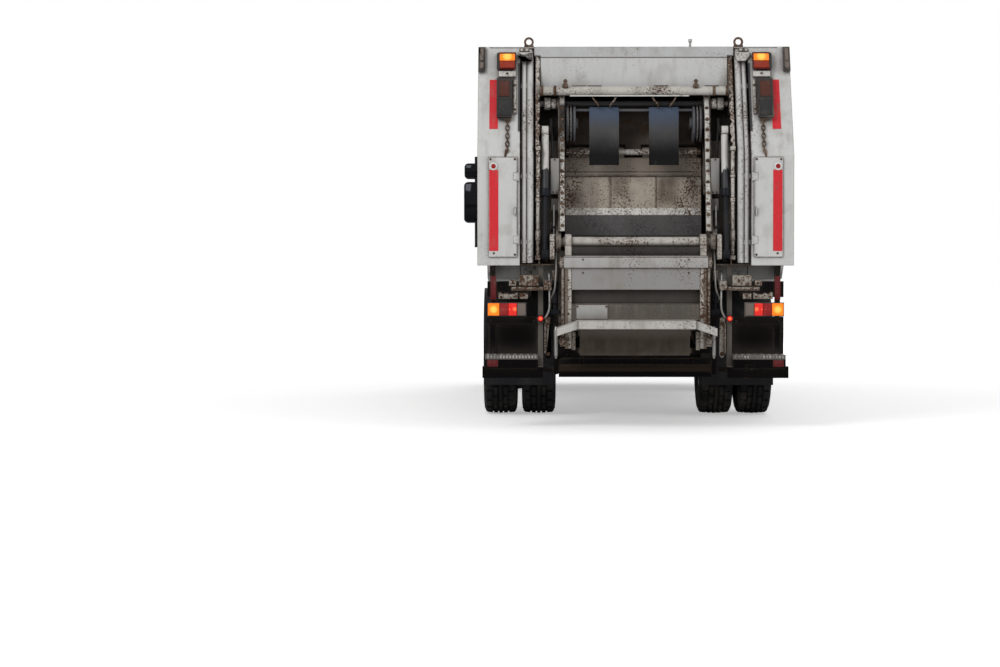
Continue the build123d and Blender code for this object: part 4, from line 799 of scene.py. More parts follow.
# Guide rods that stand outside the cylinders, with their end blocks
guide = {"x": 0.740, "y": -3.372, "z": (1.30, 2.13), "radius": 0.0145}
x, y, radius = guide["x"], guide["y"], guide["radius"]
piece = Piece("guideRods")
for piece.side in bothSides:
    for z in guide["z"]:
        piece.block((x - 0.018, x + 0.020), (y - 0.020, recessWall), (z - 0.016, z + 0.016))
    piece.rod((x, y, guide["z"][0]), (x, y, guide["z"][1]), radius, 20)
    for z, half in ((1.92, 0.010), (1.74, 0.016), (1.47, 0.040)):
        piece.rod((x, y, z - half), (x, y, z + half), radius * 1.3, 20)
piece.done("tailgate", "rustyWhite", 0.0015)


# Edge ribs on the flaps, and the straps that hold them
flapsAt = (-0.230, 0.230)
piece = Piece("flapTrim")
for x in flapsAt:
    for edge in (-0.114, 0.103):
        outline = [(x + edge, -3.0745, 2.42), (x + edge, -3.086, 2.23), (x + edge, -3.1035, 2.02),
                   (x + edge, -3.1075, 2.02), (x + edge, -3.096, 2.23), (x + edge, -3.0795, 2.42)]
        piece.plate(outline, (0.011, 0, 0))
piece.done("tailgate", "flapRubber", 0.001)
tubeY = columnY(2.58) + 0.020
straps = []
for x in flapsAt:
    for lean in bothSides:
        straps.append([(x + lean * 0.094, tubeY + 0.012, 2.556), (x + lean * 0.086, tubeY + 0.010, 2.520),
                       (x + lean * 0.050, tubeY - 0.018, 2.476), (x + lean * 0.042, -3.060, 2.452)])
pipe("flapStraps", straps, 0.0065, 0.02, "tailgate", "grimyShadedWhite", 2)
pipe("tubeSeam", [[(-0.495, tubeY - 0.008, 2.5415), (0.42, tubeY - 0.008, 2.5415)]], 0.0055, 0.01,
     "tailgate", "whiteTape", 2)

# Light rings on the discs beside the flaps: painted highlights along their rims
piece = Piece("discHighlightRings")
for piece.side in bothSides:
    piece.turned(((0, 0.137), (0, 0.1435), (0.005, 0.1435), (0.005, 0.137)), (0.4835, -3.010, 2.338),
                 (1, 0, 0), 48)
    piece.turned(((0, 0.143), (0, 0.1485), (0.003, 0.1485), (0.003, 0.143)), (0.506, -3.010, 2.338),
                 (1, 0, 0), 48)
piece.done("tailgate", "rubbedWhite", 0.0006, 1)

# The light tube that the blade carries behind its hinge
hingeTube = {"y": -2.957, "z": 2.118, "radius": 0.022, "half": 0.520}
piece = Piece("hingeTube")
y, z, half = hingeTube["y"], hingeTube["z"], hingeTube["half"]
piece.rod((-half, y, z), (half, y, z), hingeTube["radius"], 28)
for x in (-0.42, -0.156, 0.156, 0.42):
    piece.block((x - 0.02, x + 0.02), (y, -2.915), (2.084, 2.118))
piece.done("blade", "rustyWhite", 0.002)


# Fittings of the upper tube: end collars, hook bolts and the seam under the panel
piece = Piece("tubeFittings")
for piece.side in bothSides:
    for x in (0.60, 0.70):
        piece.rod((x, tubeY, 2.58), (x + 0.02, tubeY, 2.58), 0.040, 28)
for x in (-0.53, 0.47):
    piece.block((x - 0.022, x + 0.022), (tubeY - 0.045, tubeY - 0.010), (2.606, 2.628))
    piece.rod((x, tubeY - 0.030, 2.60), (x, tubeY - 0.030, 2.668), 0.010, 12)
    piece.bolts([(x, tubeY - 0.030, 2.652)], "Z", 0.014, 0.012)
for x in (-0.42, -0.30, 0.21, 0.60):
    piece.block((x - 0.06, x + 0.05), (columnY(2.62) + 0.005, columnY(2.62) + 0.022), (2.612, 2.622))
piece.done("tailgate", "rustIron", 0.001)


# Lifter: pins at the blank plate, hinge bolts, rollers and link bars beside the arms
piece = Piece("lifterBolts")
piece.bolts([(x, -3.510, 0.930) for x in (-0.440, -0.222)], "Y", 0.0055, 0.003)
for piece.side in bothSides:
    piece.bolts([(0.51, -3.51, z) for z in (1.13, 0.875)], "Y", 0.006, 0.004)
    piece.bolts([(0.40, -3.531, 1.285)], "Y", 0.005, 0.004)
    piece.bolts([(0.40, -3.514, 1.185)], "Y", 0.005, 0.004)
piece.done("lifter", "rustIron", 0.0006, 1)
piece = Piece("lifterLinks")
for piece.side in bothSides:
    for x, z, radius in ((0.555, 1.262, 0.042), (0.555, 0.665, 0.040)):
        piece.rod((x - 0.022, -3.478, z), (x + 0.020, -3.478, z), radius, 28)
        piece.rod((x - 0.026, -3.478, z), (x + 0.028, -3.478, z), 0.016, 16)
    piece.block((0.540, 0.562), (-3.496, -3.456), (0.665, 1.262))
    piece.block((0.455, 0.485), (-3.500, -3.470), (0.60, 0.74))
piece.done("lifter", "grimyShadedWhite", 0.002)

# The front sheet laps over the arms, with a rolled lip
piece = Piece("lifterSheet")
piece.block((-0.545, 0.545), (-3.531, -3.526), (1.222, 1.308))
piece.rod((-0.545, -3.528, 1.308), (0.545, -3.528, 1.308), 0.006, 10)
piece.done("lifter", "lifterPaint", 0.002)

# Thin pipes, the wire handle beside the pivot, and the link pipes under it
handleRuns = [
    [(0.632, -3.300, 1.33), (0.632, -3.308, 1.476), (0.572, -3.308, 1.470), (0.572, -3.300, 1.385)],
    [(0.618, -3.262, 1.70), (0.618, -3.290, 1.70), (0.618, -3.306, 1.60), (0.618, -3.306, 1.474)],
]
pipe("handleWires", mirrored(handleRuns), 0.0045, 0.012, "tailgate", "whiteTape")
linkRuns = [
    [(0.600, -3.345, 1.44), (0.600, -3.405, 1.44), (0.600, -3.410, 1.20), (0.612, -3.400, 1.06),
     (0.640, -3.350, 0.985), (0.640, -3.325, 0.985)],
    [(0.655, -3.325, 1.18), (0.655, -3.395, 1.18), (0.650, -3.400, 0.92), (0.668, -3.385, 0.86),
     (0.700, -3.350, 0.83)],
]
pipe("linkPipes", mirrored(linkRuns), 0.008, 0.03, "tailgate", "galvanised")


# Light covers in the recesses, between the cylinders and the opening
recessCover = {"face": -3.305, "back": -3.1405}
blockSet("recessCovers", (((0.577, 0.644), (recessCover["face"], recessCover["back"]), (1.785, 2.058)),
                          ((0.584, 0.640), (-3.270, recessCover["back"]), (1.660, 1.752)),
                          ((0.606, 0.650), (-3.150, recessCover["back"]), (1.30, 1.575))),
         "tailgate", "coverGrey", 0.003)
boltSet("recessCoverBolts", (([(x, recessCover["face"], z) for x, z in (
    (0.596, 1.798), (0.622, 1.798), (0.612, 2.046))], 0.005, 0.004),), 0.0005)

# Valve blocks, links and handles beside the lift's pivots
piece = Piece("valveBlocks")
for piece.side in bothSides:
    for x, rear, z in (((0.660, 0.700), -3.250, (1.300, 1.440)), ((0.664, 0.728), -3.262, (1.262, 1.292)),
                       ((0.702, 0.736), -3.290, (1.330, 1.540))):
        piece.block(x, (rear, recessWall), z)
    piece.rod((0.719, -3.270, 1.290), (0.719, -3.270, 1.560), 0.020, 20)
    piece.rod((0.684, -3.240, 1.440), (0.684, -3.240, 1.475), 0.013, 6)
    piece.rod((0.684, -3.254, 1.36), (0.684, -3.272, 1.36), 0.012, 6)
    piece.rod((0.684, -3.254, 1.32), (0.684, -3.268, 1.32), 0.010, 6)
piece.done("tailgate", "darkSteel", 0.002)
piece = Piece("swingBlocks")
for piece.side in bothSides:
    piece.block((0.588, 0.632), (-3.372, -3.340), (1.125, 1.205))
    piece.rod((0.610, -3.376, 1.145), (0.610, -3.368, 1.145), 0.012, 16)
    piece.block((0.590, 0.612), (-3.366, -3.340), (1.20, 1.214))
piece.done("tailgate", "grimyShadedWhite", 0.010, 4)
piece = Piece("hoseEnds")
for piece.side in bothSides:
    piece.rod((0.611, -3.362, 0.955), (0.611, -3.362, 1.128), 0.021, 24)
    for z in (0.96, 1.02, 1.08):
        piece.rod((0.611, -3.362, z), (0.611, -3.362, z + 0.012), 0.0245, 24)
    piece.block((0.566, 0.640), (-3.364, -3.340), (0.872, 0.905))
    piece.rod((0.605, -3.352, 0.905), (0.605, -3.352, 0.950), 0.016, 6)
piece.done("tailgate", "blackRod", 0.002)

# Levers that hang under the lamps, and the grey tubes beside the lift
piece = Piece("hangingLevers")
for piece.side in bothSides:
    outline = [(x, -3.351, z) for x, z in ((0.643, 0.845), (0.684, 0.845), (0.682, 0.560), (0.676, 0.542),
                                           (0.662, 0.535), (0.648, 0.542), (0.640, 0.560))]
    piece.plate(outline, (0, -0.010, 0))
    piece.block((0.680, 0.690), (-3.382, -3.351), (0.57, 0.80))
piece.done("tailgate", "grimyShadedWhite", 0.002)
boltSet("leverBolts", (([(0.662, -3.361, z) for z in (0.565, 0.80)], 0.011, 0.010),))
piece = Piece("postTubes")
for piece.side in bothSides:
    piece.rod((0.602, -3.352, 0.560), (0.602, -3.352, 0.750), 0.014, 20)
    piece.rod((0.602, -3.352, 0.530), (0.602, -3.352, 0.560), 0.006, 20, 0.014)
    piece.rod((0.602, -3.352, 0.750), (0.602, -3.352, 0.775), 0.014, 20, 0.008)
piece.done("tailgate", "galvanised", 0.001)
piece = Piece("rearCrossTube")
piece.rod((-0.585, -3.290, 0.502), (0.585, -3.290, 0.502), 0.033, 24)
for x in (-0.42, -0.14, 0.14, 0.42):
    piece.rod((x, -3.290, 0.502), (x + 0.03, -3.290, 0.502), 0.036, 24)
piece.rod((-0.580, -3.300, 0.419), (0.580, -3.300, 0.419), 0.032, 24)
piece.done("tailgate", "stepPaint", 0.002)

# Brackets and shelves above the tail lamps
piece = Piece("lampShelves")
for piece.side in bothSides:
    for x, z in (((0.735, 0.882), (1.086, 1.168)), ((0.636, 0.696), (1.052, 1.124)),
                 ((0.905, 0.960), (1.086, 1.130)), ((0.700, 0.942), (1.050, 1.078)),
                 ((0.815, 0.880), (0.985, 1.030))):
        piece.block(x, (-3.424, -3.330), z)
    ripple = [(0.893, 0.985), (0.893, 1.040), (0.925, 1.024), (0.955, 1.022), (0.985, 1.032), (1.005, 1.022),
              (1.030, 1.042), (1.042, 1.030), (1.042, 0.985)]
    piece.plate([(x, -3.410, z) for x, z in ripple], (0, -0.012, 0))
    piece.block((0.700, 0.940), (-3.436, -3.408), (1.050, 1.056))
piece.done("tailgate", "grimyShadedWhite", 0.003)
blockSet("shelfReflectors", (((1.056, 1.100), (-3.420, -3.409), (0.978, 1.160)),), "tailgate",
         "maroonLens", 0.004)
boltSet("shelfBolts", (([(x, -3.424, z) for x, z in ((0.785, 1.125), (0.846, 1.015), (0.930, 1.108),
                                                     (0.66, 1.09))], 0.007, 0.005),
                       ([(x, -3.422, 1.003) for x in (0.915, 1.02)], 0.006, 0.004)))


# Tyres: a grooved section spun round the axle, with cross cuts on the driven wheels
axles = {"front": 2.43, "rear": -1.42, "up": 0.505}
tyreShape = {"steps": 112, "ribs": ((0.071, 0.111), (0.027, 0.056)), "cutDepth": 0.011}
tyreSection = [(-0.118, 0.286), (-0.126, 0.300), (-0.124, 0.312), (-0.135, 0.345), (-0.140, 0.390),
               (-0.1385, 0.425), (-0.133, 0.455), (-0.135, 0.462), (-0.130, 0.470), (-0.124, 0.487),
               (-0.112, 0.498), (-0.070, 0.5015), (-0.069, 0.490), (-0.058, 0.490), (-0.057, 0.5025),
               (-0.026, 0.504), (-0.025, 0.491), (-0.014, 0.491), (-0.013, 0.505)]
tyreSection += [(-x, radius) for x, radius in reversed(tyreSection)]


def tyre(piece, x, y, cuts):
    centre = (x, y, axles["up"])
    steps = tyreShape["steps"]
    piece.turned(tyreSection, centre, (1, 0, 0), steps)
    piece.close()
    if not cuts:
        return
    mesh = bmesh.from_edit_mesh(piece.obj.data)
    turnOf = 2 * pi / steps
    for face in mesh.faces:
        spot = face.calc_center_median()
        across, up, back = spot.x - x, spot.z - centre[2], spot.y - y
        around = int((Vector((up, back)).angle_signed(Vector((1, 0))) + pi) / turnOf + 0.01)
        rib = any(near < abs(across) < far for near, far in tyreShape["ribs"])
        phase = 0 if abs(across) > 0.06 else 2
        tread = hypot(up, back) > 0.49 and abs(face.normal.x) < 0.5
        face.select = rib and tread and (around + phase) % 4 == 0
    bmesh.update_edit_mesh(piece.obj.data)
    bpy.ops.mesh.extrude_region_shrink_fatten(
        MESH_OT_extrude_region={}, TRANSFORM_OT_shrink_fatten={"value": -tyreShape["cutDepth"]})


wheelNuts = {"count": 10, "circle": 0.122}
for label, side in (("Left", -1), ("Right", 1)):
    low = label.lower()
    piece = Piece(f"frontTyre{label}")
    tyre(piece, side * 1.0, axles["front"], False)
    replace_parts(piece.done(f"front_wheel_{low}", "tyreRubber", 0), f"front_tyre_{low}")
    piece = Piece(f"rearTyres{label}")
    tyre(piece, side * 0.73, axles["rear"], True)
    tyre(piece, side * 1.045, axles["rear"], True)
    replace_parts(piece.done(f"rear_wheels_{low}", "tyreRubber", 0), f"rear_tyres_{low}")
    for name, face, y, body in ((f"frontNuts{label}", 1.092, axles["front"], f"front_wheel_{low}"),
                                (f"rearNuts{label}", 0.920, axles["rear"], f"rear_wheels_{low}")):
        piece = Piece(name)
        piece.side = side
        for step in range(wheelNuts["count"]):
            angle = 2 * pi * (step + 0.5) / wheelNuts["count"]
            back, up = wheelNuts["circle"] * cos(angle), wheelNuts["circle"] * sin(angle)
            spot = Vector((face, y + back, axles["up"] + up))
            for reach, radius, sides in ((0.004, 0.020, 16), (0.026, 0.0155, 6), (0.034, 0.008, 12)):
                piece.rod(spot, spot + Vector((reach, 0, 0)), radius, sides, radius * 0.94)
        # The valve's stem
        piece.rod((face - 0.02, y, axles["up"] + 0.235), (face + 0.016, y, axles["up"] + 0.225), 0.0045, 10)
        piece.done(body, "galvanised", 0.0012)
print("wheels made")


# Cab: the front's curve, seals, wipers, grille mesh, lamps, handles and mirror glass
cabFront = {"y": 3.79, "crown": 0.036, "half": 1.07, "rake": 0.22, "sill": 1.64, "rise": 0.86}


def frontY(x, z, inset=0.0):
    # The cab's skin: crowned across, and raked above the sill
    crown = cabFront["crown"] * (x / cabFront["half"]) ** 2
    lean = cabFront["rake"] * max(0.0, (z - cabFront["sill"]) / cabFront["rise"])
    return cabFront["y"] - inset - crown - lean


screen = {"half": 1.010, "low": 1.700, "high": 2.440}
across = [screen["half"] * step / 5 for step in range(-5, 6)]
route = [(x, frontY(x, screen["low"]), screen["low"]) for x in across]
route += [(x, frontY(x, screen["high"]), screen["high"]) for x in reversed(across)] + [route[0]]
doorWindow = ((2.680, 1.690), (3.420, 1.690), (3.245, 2.370), (2.680, 2.370), (2.680, 1.690))
pipe("windscreenSeal", [route], 0.013, 0.02, "cab", "blackPlastic")
for label, side in (("Left", -1), ("Right", 1)):
    low = label.lower()
    pipe(f"windowSeal{label}", [[(side * 1.144, y, z) for y, z in doorWindow]], 0.010, 0.03, f"door_{low}",
         "blackPlastic")
    # Handle in its dish, lock, belt moulding and the inner pull with its pocket
    piece = Piece(f"doorFittings{label}")
    piece.side = side
    piece.block((1.144, 1.150), (2.66, 2.86), (1.50, 1.60))
    piece.block((1.150, 1.176), (2.67, 2.85), (1.555, 1.580))
    piece.rod((1.144, 2.72, 1.525), (1.154, 2.72, 1.525), 0.014, 20)
    piece.block((1.144, 1.152), (2.63, 3.44), (1.658, 1.676))
    piece.block((1.060, 1.102), (2.80, 3.20), (1.56, 1.60))
    piece.block((1.066, 1.114), (2.75, 3.30), (1.22, 1.34))
    piece.done(f"door_{low}", "blackPlastic", 0.004, 3)

piece = Piece("wipers")
for x, reach in ((-0.62, 0.62), (0.10, 0.66)):
    foot = Vector((x, frontY(x, 1.67) + 0.006, 1.67))
    tip = Vector((x + reach * 0.75, frontY(x + reach * 0.75, 1.79, 0.010), 1.79))
    piece.rod(foot, tip, 0.009, 8, 0.005)
    piece.rod(foot - Vector((0, 0.03, 0)), foot + Vector((0, 0.009, 0)), 0.020, 16)
    ends = [(tip.x + way * 0.30, tip.z + way * 0.05) for way in bothSides]
    piece.rod(*[(endX, frontY(endX, endZ, 0.014), endZ) for endX, endZ in ends], 0.007, 6)
piece.done("cab", "blackPlastic", 0.001)

clearSelection()
bpy.ops.mesh.primitive_grid_add(x_subdivisions=76, y_subdivisions=26, size=1,
                                location=(0, 3.690, 1.045), rotation=(pi / 2, 0, 0))
grille = bpy.context.object
grille.name = grille.data.name = "grilleMesh"
grille.scale = (1.34, 0.46, 1)
bpy.ops.object.transform_apply(location=True, rotation=True, scale=True)
modify(grille, "WIREFRAME", thickness=0.004)
settle(grille, "cab", "blackPlastic")
piece = Piece("grilleFrame")
for z in (0.812, 1.270):
    piece.block((-0.68, 0.68), (3.684, 3.712), (z, z + 0.012))
for x in (-0.68, -0.225, 0.213, 0.668):
    piece.block((x, x + 0.012), (3.684, 3.712), (0.812, 1.282))
for x in (-0.676, 0.660):
    for z in (0.84, 1.25):
        piece.block((x, x + 0.016), (3.705, 3.735), (z, z + 0.02))
# Slats that fill the slots, set back from the skin
for row in range(6):
    z = 0.852 + row * 0.072
    for x in [step * 0.16 for step in range(-3, 4)]:
        piece.block((x - 0.006, x + 0.006), (3.712, frontY(x, z, 0.008)), (z - 0.024, z + 0.024))
piece.done("cab", "blackPlastic", 0.0015)

headLamp = {"x": 0.900, "z": 0.505, "face": 3.752}
piece = Piece("headLampBowls")
for piece.side in bothSides:
    for shift, radius in ((-0.062, 0.056), (0.066, 0.050)):
        piece.turned(((0, radius), (0.006, radius), (0.007, radius - 0.006), (0.001, radius * 0.55),
                      (0.001, 0.0), (-0.002, 0.0), (-0.002, radius)),
                     (headLamp["x"] + shift, headLamp["face"], headLamp["z"]), (0, 1, 0), 36)
piece.done("chassis", "rodSteel", 0)
blockSet("frontTurnLamps", (((1.085, 1.120), (3.665, 3.690), (0.44, 0.57)),), "chassis",
         "amberLens", 0.006, 3)
piece = Piece("cabLamps")
for piece.side in bothSides:
    for x in (0.35, 0.92):
        piece.block((x - 0.05, x + 0.05), (3.405, 3.452), (2.630, 2.665))
    piece.block((1.149, 1.166), (3.55, 3.62), (1.20, 1.30))
piece.done("cab", "amberLens", 0.008, 3)
blockSet("mirrorGlass", (((1.275, 1.475), (3.5555, 3.561), (1.67, 2.05)),
                         ((1.292, 1.468), (3.5555, 3.561), (2.118, 2.243))),
         "cab", "mirrorFace", 0.002)
piece = Piece("mirrorRims")
for piece.side in bothSides:
    for x, z in (((1.262, 1.488), (1.655, 2.065)), ((1.279, 1.481), (2.105, 2.256))):
        for low, high in ((z[0], z[0] + 0.013), (z[1] - 0.013, z[1])):
            piece.block((x[0] + 0.02, x[1] - 0.02), (3.552, 3.562), (low, high))
        for a, b in ((x[0], x[0] + 0.011), (x[1] - 0.011, x[1])):
            piece.block((a, b), (3.552, 3.562), (z[0] + 0.02, z[1] - 0.02))
piece.done("cab", "blackPlastic", 0.003)
pipe("grabBars", mirrored([[(1.15, 2.555, 1.22), (1.19, 2.555, 1.221), (1.19, 2.555, 1.95),
                            (1.15, 2.555, 1.951)]]), 0.013, 0.02, "cab", "blackPlastic")

# The blank plate follows the bumper's crown; louvres fill the slot above it
frontPlate = {"half": 0.255, "z": (0.332, 0.428), "face": 3.8005, "thick": 0.0015, "crown": 26}
plateRow = [frontPlate["half"] * step / 5 for step in range(-5, 6)]
plan = [(x, frontPlate["face"] - x * x / frontPlate["crown"]) for x in plateRow]
plan += [(x, y - frontPlate["thick"]) for x, y in reversed(plan)]
piece = Piece("frontPlate")
piece.plate([(x, y, frontPlate["z"][0]) for x, y in plan], (0, 0, frontPlate["z"][1] - frontPlate["z"][0]))
piece.bolts([(x, 3.7965, 0.38) for x in (-0.20, 0.20)], "+Y", 0.006, 0.001)
piece.done("chassis", "whiteTape", 0.0003, 1)
piece = Piece("bumperLouvres")
for z in (0.440, 0.457, 0.474, 0.491):
    piece.block((-0.4195, 0.4195), (3.745, 3.775), (z - 0.0015, z + 0.0015), (radians(-40), 0, 0))
piece.done("chassis", "blackPlastic", 0.0005, 1)


# Inside the cab: gauges, vents, the screen and its switches
piece = Piece("dashTrim")
for x in (-0.60, -0.44):
    piece.turned(((0, 0.0), (0, 0.052), (0.010, 0.054), (0.014, 0.048), (0.006, 0.044), (0.006, 0.0)),
                 (x, 3.331, 1.612), (0, -1, 0), 28)
for x in (-0.90, -0.20, 0.30, 0.90):
    piece.block((x - 0.075, x + 0.075), (3.302, 3.325), (1.475, 1.515))
    for z in (1.482, 1.494, 1.506):
        piece.block((x - 0.066, x + 0.066), (3.294, 3.304), (z - 0.002, z + 0.002))
piece.block((-0.12, 0.16), (3.300, 3.330), (1.40, 1.462))
for x in (-0.10, -0.05, 0.0, 0.05, 0.10):
    piece.block((x, x + 0.034), (3.316, 3.345), (1.345, 1.375))
# Glove box lid and its catch, the gear lever, the pedals
piece.block((0.42, 0.86), (3.312, 3.345), (1.345, 1.450))
piece.block((0.61, 0.67), (3.304, 3.314), (1.432, 1.444))
piece.rod((-0.22, 3.05, 1.12), (-0.22, 3.02, 1.42), 0.012, 12)
piece.rod((-0.22, 3.02, 1.40), (-0.22, 3.015, 1.48), 0.022, 20, 0.026)
piece.block((-0.27, -0.17), (3.00, 3.10), (1.119, 1.150))
for x, width in ((-0.66, 0.035), (-0.53, 0.035), (-0.40, 0.030)):
    piece.rod((x, 3.50, 1.40), (x, 3.43, 1.23), 0.008, 8)
    piece.block((x - width, x + width), (3.415, 3.428), (1.185, 1.265), (0.35, 0, 0))
    piece.block((x - 0.02, x + 0.02), (3.48, 3.562), (1.385, 1.415))
piece.done("cab", "blackPlastic", 0.002)
piece = Piece("wheelHub")
tilt = Vector((0, -0.6715, 0.741))
hub = Vector((-0.52, 3.190, 1.588))
piece.rod(hub + tilt * 0.008, hub + tilt * 0.030, 0.062, 32, 0.054)
for way in bothSides:
    stalk = (Vector((way * 0.05, 0.09, -0.10)), Vector((way * 0.19, 0.075, -0.075)))
    piece.rod(hub + stalk[0], hub + stalk[1], 0.008, 10, 0.011)
piece.done("cab", "blackPlastic", 0.003)

weavePace = 1900  # radians a metre
weave = Paint("seatWeave", (0.09, 0.10, 0.13), 0.85, Sheen_Weight=0.3)
threads = weave.waves("XYZ", weavePace)
weft = threads[0] * threads[1] + threads[2] * threads[0]
fleck = weave.above(weave.noise(140, 2), 0.52, 0.60)
cloth = weave.blend(weft * 0.5 + 0.5, (0.06, 0.066, 0.085), (0.11, 0.12, 0.15))
weave.paintWith(weave.blend(fleck * 0.6, cloth, (0.17, 0.18, 0.21)))
weave.bump(weft, 0.3, 0.0008)
paints["seatWeave"] = weave

seatPlan = {"spans": ((-0.790, -0.280), (-0.130, 0.370), (0.380, 0.880)), "cuts": 9, "crown": 0.014,
            "seam": 0.60, "stitch": 0.12}


def cushioned(piece, x, outline):
    # A block divided into a fine cage over a four-cornered (y, z) outline, crowned between its sewn seams
    bpy.ops.mesh.primitive_cube_add(size=2)
    bpy.ops.mesh.subdivide(number_cuts=seatPlan["cuts"])
    middle, half = (x[0] + x[1]) / 2, (x[1] - x[0]) / 2
    low, lowFar, highFar, high = (Vector(corner) for corner in outline)

    def crowned(place):
        u, v, w = place
        seam = min(abs(abs(u) - seatPlan["seam"]), seatPlan["stitch"]) / seatPlan["stitch"]
        crown = seatPlan["crown"] * ((1 - u * u) * (1 - v * v) + 0.35 * seam) * (1 if abs(w) > 0.99 else 0)
        pull = 1 - 0.035 * (1 - abs(w)) * (1 + abs(v))
        along = low.lerp(lowFar, (v + 1) / 2)
        over = high.lerp(highFar, (v + 1) / 2)
        spot = along.lerp(over, (w + 1) / 2)
        lift = (over - along).normalized() * crown * w
        return (middle + u * half * pull, spot.x + lift.x, spot.y + lift.y)

    moveChosen(piece.obj, crowned)


for name, outline, inset, fill in (
        ("seatCushions", ((2.345, 1.482), (2.880, 1.482), (2.872, 1.572), (2.345, 1.575)), 0.004, 0.85),
        ("seatBacks", ((2.245, 2.075), (2.345, 1.600), (2.432, 1.600), (2.350, 2.075)), 0.014, 0.8),
        ("headRests", ((2.246, 2.250), (2.242, 2.095), (2.345, 2.095), (2.322, 2.250)), 0.125, 0.8)):
    piece = Piece(name)
    for xFrom, xTo in seatPlan["spans"]:
        cushioned(piece, (xFrom + inset, xTo - inset), outline)
    bpy.ops.mesh.select_all(action="SELECT")
    bpy.ops.mesh.normals_make_consistent(inside=False)
    bpy.ops.object.mode_set(mode="OBJECT")
    modify(piece.obj, "SUBSURF", levels=1, render_levels=1)
    settle(piece.obj, "cab", "seatWeave")
shells = Piece("seatShells")
for xFrom, xTo in seatPlan["spans"]:
    shells.block((xFrom + 0.02, xTo - 0.02), (2.232, 2.262), (1.60, 2.06), (radians(12), 0, 0))
    for shift in (-0.06, 0.06):
        middle = (xFrom + xTo) / 2 + shift
        shells.rod((middle, 2.285, 2.04), (middle, 2.290, 2.12), 0.007, 10)
    shells.rod((xTo - 0.012, 2.36, 1.57), (xTo - 0.012, 2.36, 1.66), 0.012, 12, 0.016)
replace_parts(shells.done("cab", "seatVinyl", 0.008, 3), "seats")
print("cab dressed")


# Body sides: bolts on the ribs, side lamps and sill pipes
ribs = [-0.915 + step * 0.53 for step in range(5)]
piece = Piece("bodyBolts")
for piece.side in bothSides:
    piece.bolts([(1.160, y, z) for y in ribs for z in (1.15, 1.45, 2.25, 2.53)], "X", 0.010)
    piece.bolts([(1.120, -1.55 + step * 0.14, 1.10) for step in range(4)], "X", 0.009)
    piece.bolts([(x, 1.7505, z) for x in (0.30, 0.60, 0.90) for z in (1.20, 1.60, 2.0, 2.4)], "+Y", 0.010)
piece.done("chassis", "galvanised", 0.0006, 1)
sideLampsAt = (-0.62, -0.02, 0.46)
blockSet("sideLamps", [((1.1195, 1.132), (y - 0.035, y + 0.035), (0.690, 0.725)) for y in sideLampsAt],
         "chassis", "amberLens", 0.006, 3)
sill = [[(x, 1.70, 1.035), (x, 1.70, 1.030), (x, -1.55, 1.030), (x, -1.64, 1.075)] for x in (1.030, 1.062)]
pipe("sillPipes", mirrored(sill), 0.0085, 0.02, "chassis", "frameDark")
clips = (-1.35, -0.85, -0.35, 0.15, 0.65, 1.15, 1.55)
blockSet("sillClips", [((1.014, 1.106), (y, y + 0.026), (1.018, 1.0875)) for y in clips], "chassis",
         "frameDark", 0.001)

# Pipes and collars of the tailgate cylinders
base, eye = Vector((1.164, -1.150, 1.750)), Vector((1.164, -2.350, 2.450))
run = (eye - base).normalized()
above = Vector((0, run.z, -run.y)) * -1
tailPipe = [base + run * 0.07 + above * 0.028, base + run * 0.07 + above * 0.052,
            base + run * 1.16 + above * 0.052, base + run * 1.16 + above * 0.028]
pipe("tailPipes", mirrored([tailPipe]), 0.0075, 0.012, "tail_barrels", "galvanised")
piece = Piece("tailCollars")
for piece.side in bothSides:
    for share, half in ((0.09, 0.022), (0.45, 0.010), (0.80, 0.010), (1.17, 0.024)):
        piece.rod(base + run * (share - half), base + run * (share + half), 0.0345, 28)
    for share in (0.45, 0.80):
        spot = base + run * share + above * 0.042
        piece.rod((1.156, spot.y, spot.z), (1.172, spot.y, spot.z), 0.014, 10)
piece.done("tail_barrels", "darkSteel", 0.001)


# Under the body: spring clamps, brake chambers, silencer with its pipe, tank straps and caps
piece = Piece("springClamps")
for y, seat, top in ((axles["front"], 0.496, 0.556), (axles["rear"], 0.571, 0.639)):
    for piece.side in bothSides:
        for shift in (-0.055, 0.055):
            for x in (0.308, 0.388):
                piece.rod((x, y + shift, seat - 0.07), (x, y + shift, top + 0.03), 0.009, 12)
            piece.rod((0.303, y + shift, top + 0.022), (0.393, y + shift, top + 0.022), 0.009, 12)
        piece.block((0.296, 0.400), (y - 0.080, y + 0.080), (seat - 0.012, seat - 0.001))
        # The shorter leaves, stepped off the pack
        for reach, drop in ((0.30, 0.010), (0.45, 0.016)):
            piece.block((0.318, 0.378), (y - reach, y + reach), (seat - drop, seat - drop + 0.008))
piece.done("chassis", "frameDark", 0.001)
piece = Piece("brakeChambers")
for piece.side in bothSides:
    piece.turned(((0, 0), (0, 0.060), (0.02, 0.078), (0.055, 0.082), (0.055, 0.090), (0.068, 0.090),
                  (0.068, 0.082), (0.12, 0.080), (0.19, 0.070), (0.20, 0.055), (0.20, 0)),
                 (0.49, -1.30, 0.555), (0, 1, 0), 32)
    piece.block((0.45, 0.53), (-1.375, -1.292), (0.50, 0.60))
    piece.rod((0.49, -1.35, 0.60), (0.49, -1.40, 0.66), 0.012, 12)
piece.done("chassis", "darkSteel", 0.0015)
piece = Piece("silencer")
piece.turned(((0, 0), (0, 0.105), (0.015, 0.125), (0.45, 0.125), (0.465, 0.105), (0.465, 0)),
             (0.66, -0.30, 0.70), (0, 1, 0), 36)
for y in (-0.22, 0.06):
    piece.turned(((0, 0.120), (0, 0.130), (0.03, 0.130), (0.03, 0.120)), (0.66, y, 0.70), (0, 1, 0), 36)
    piece.block((0.384, 0.66), (y, y + 0.03), (0.815, 0.845))
piece.done("chassis", "rustIron", 0.002)
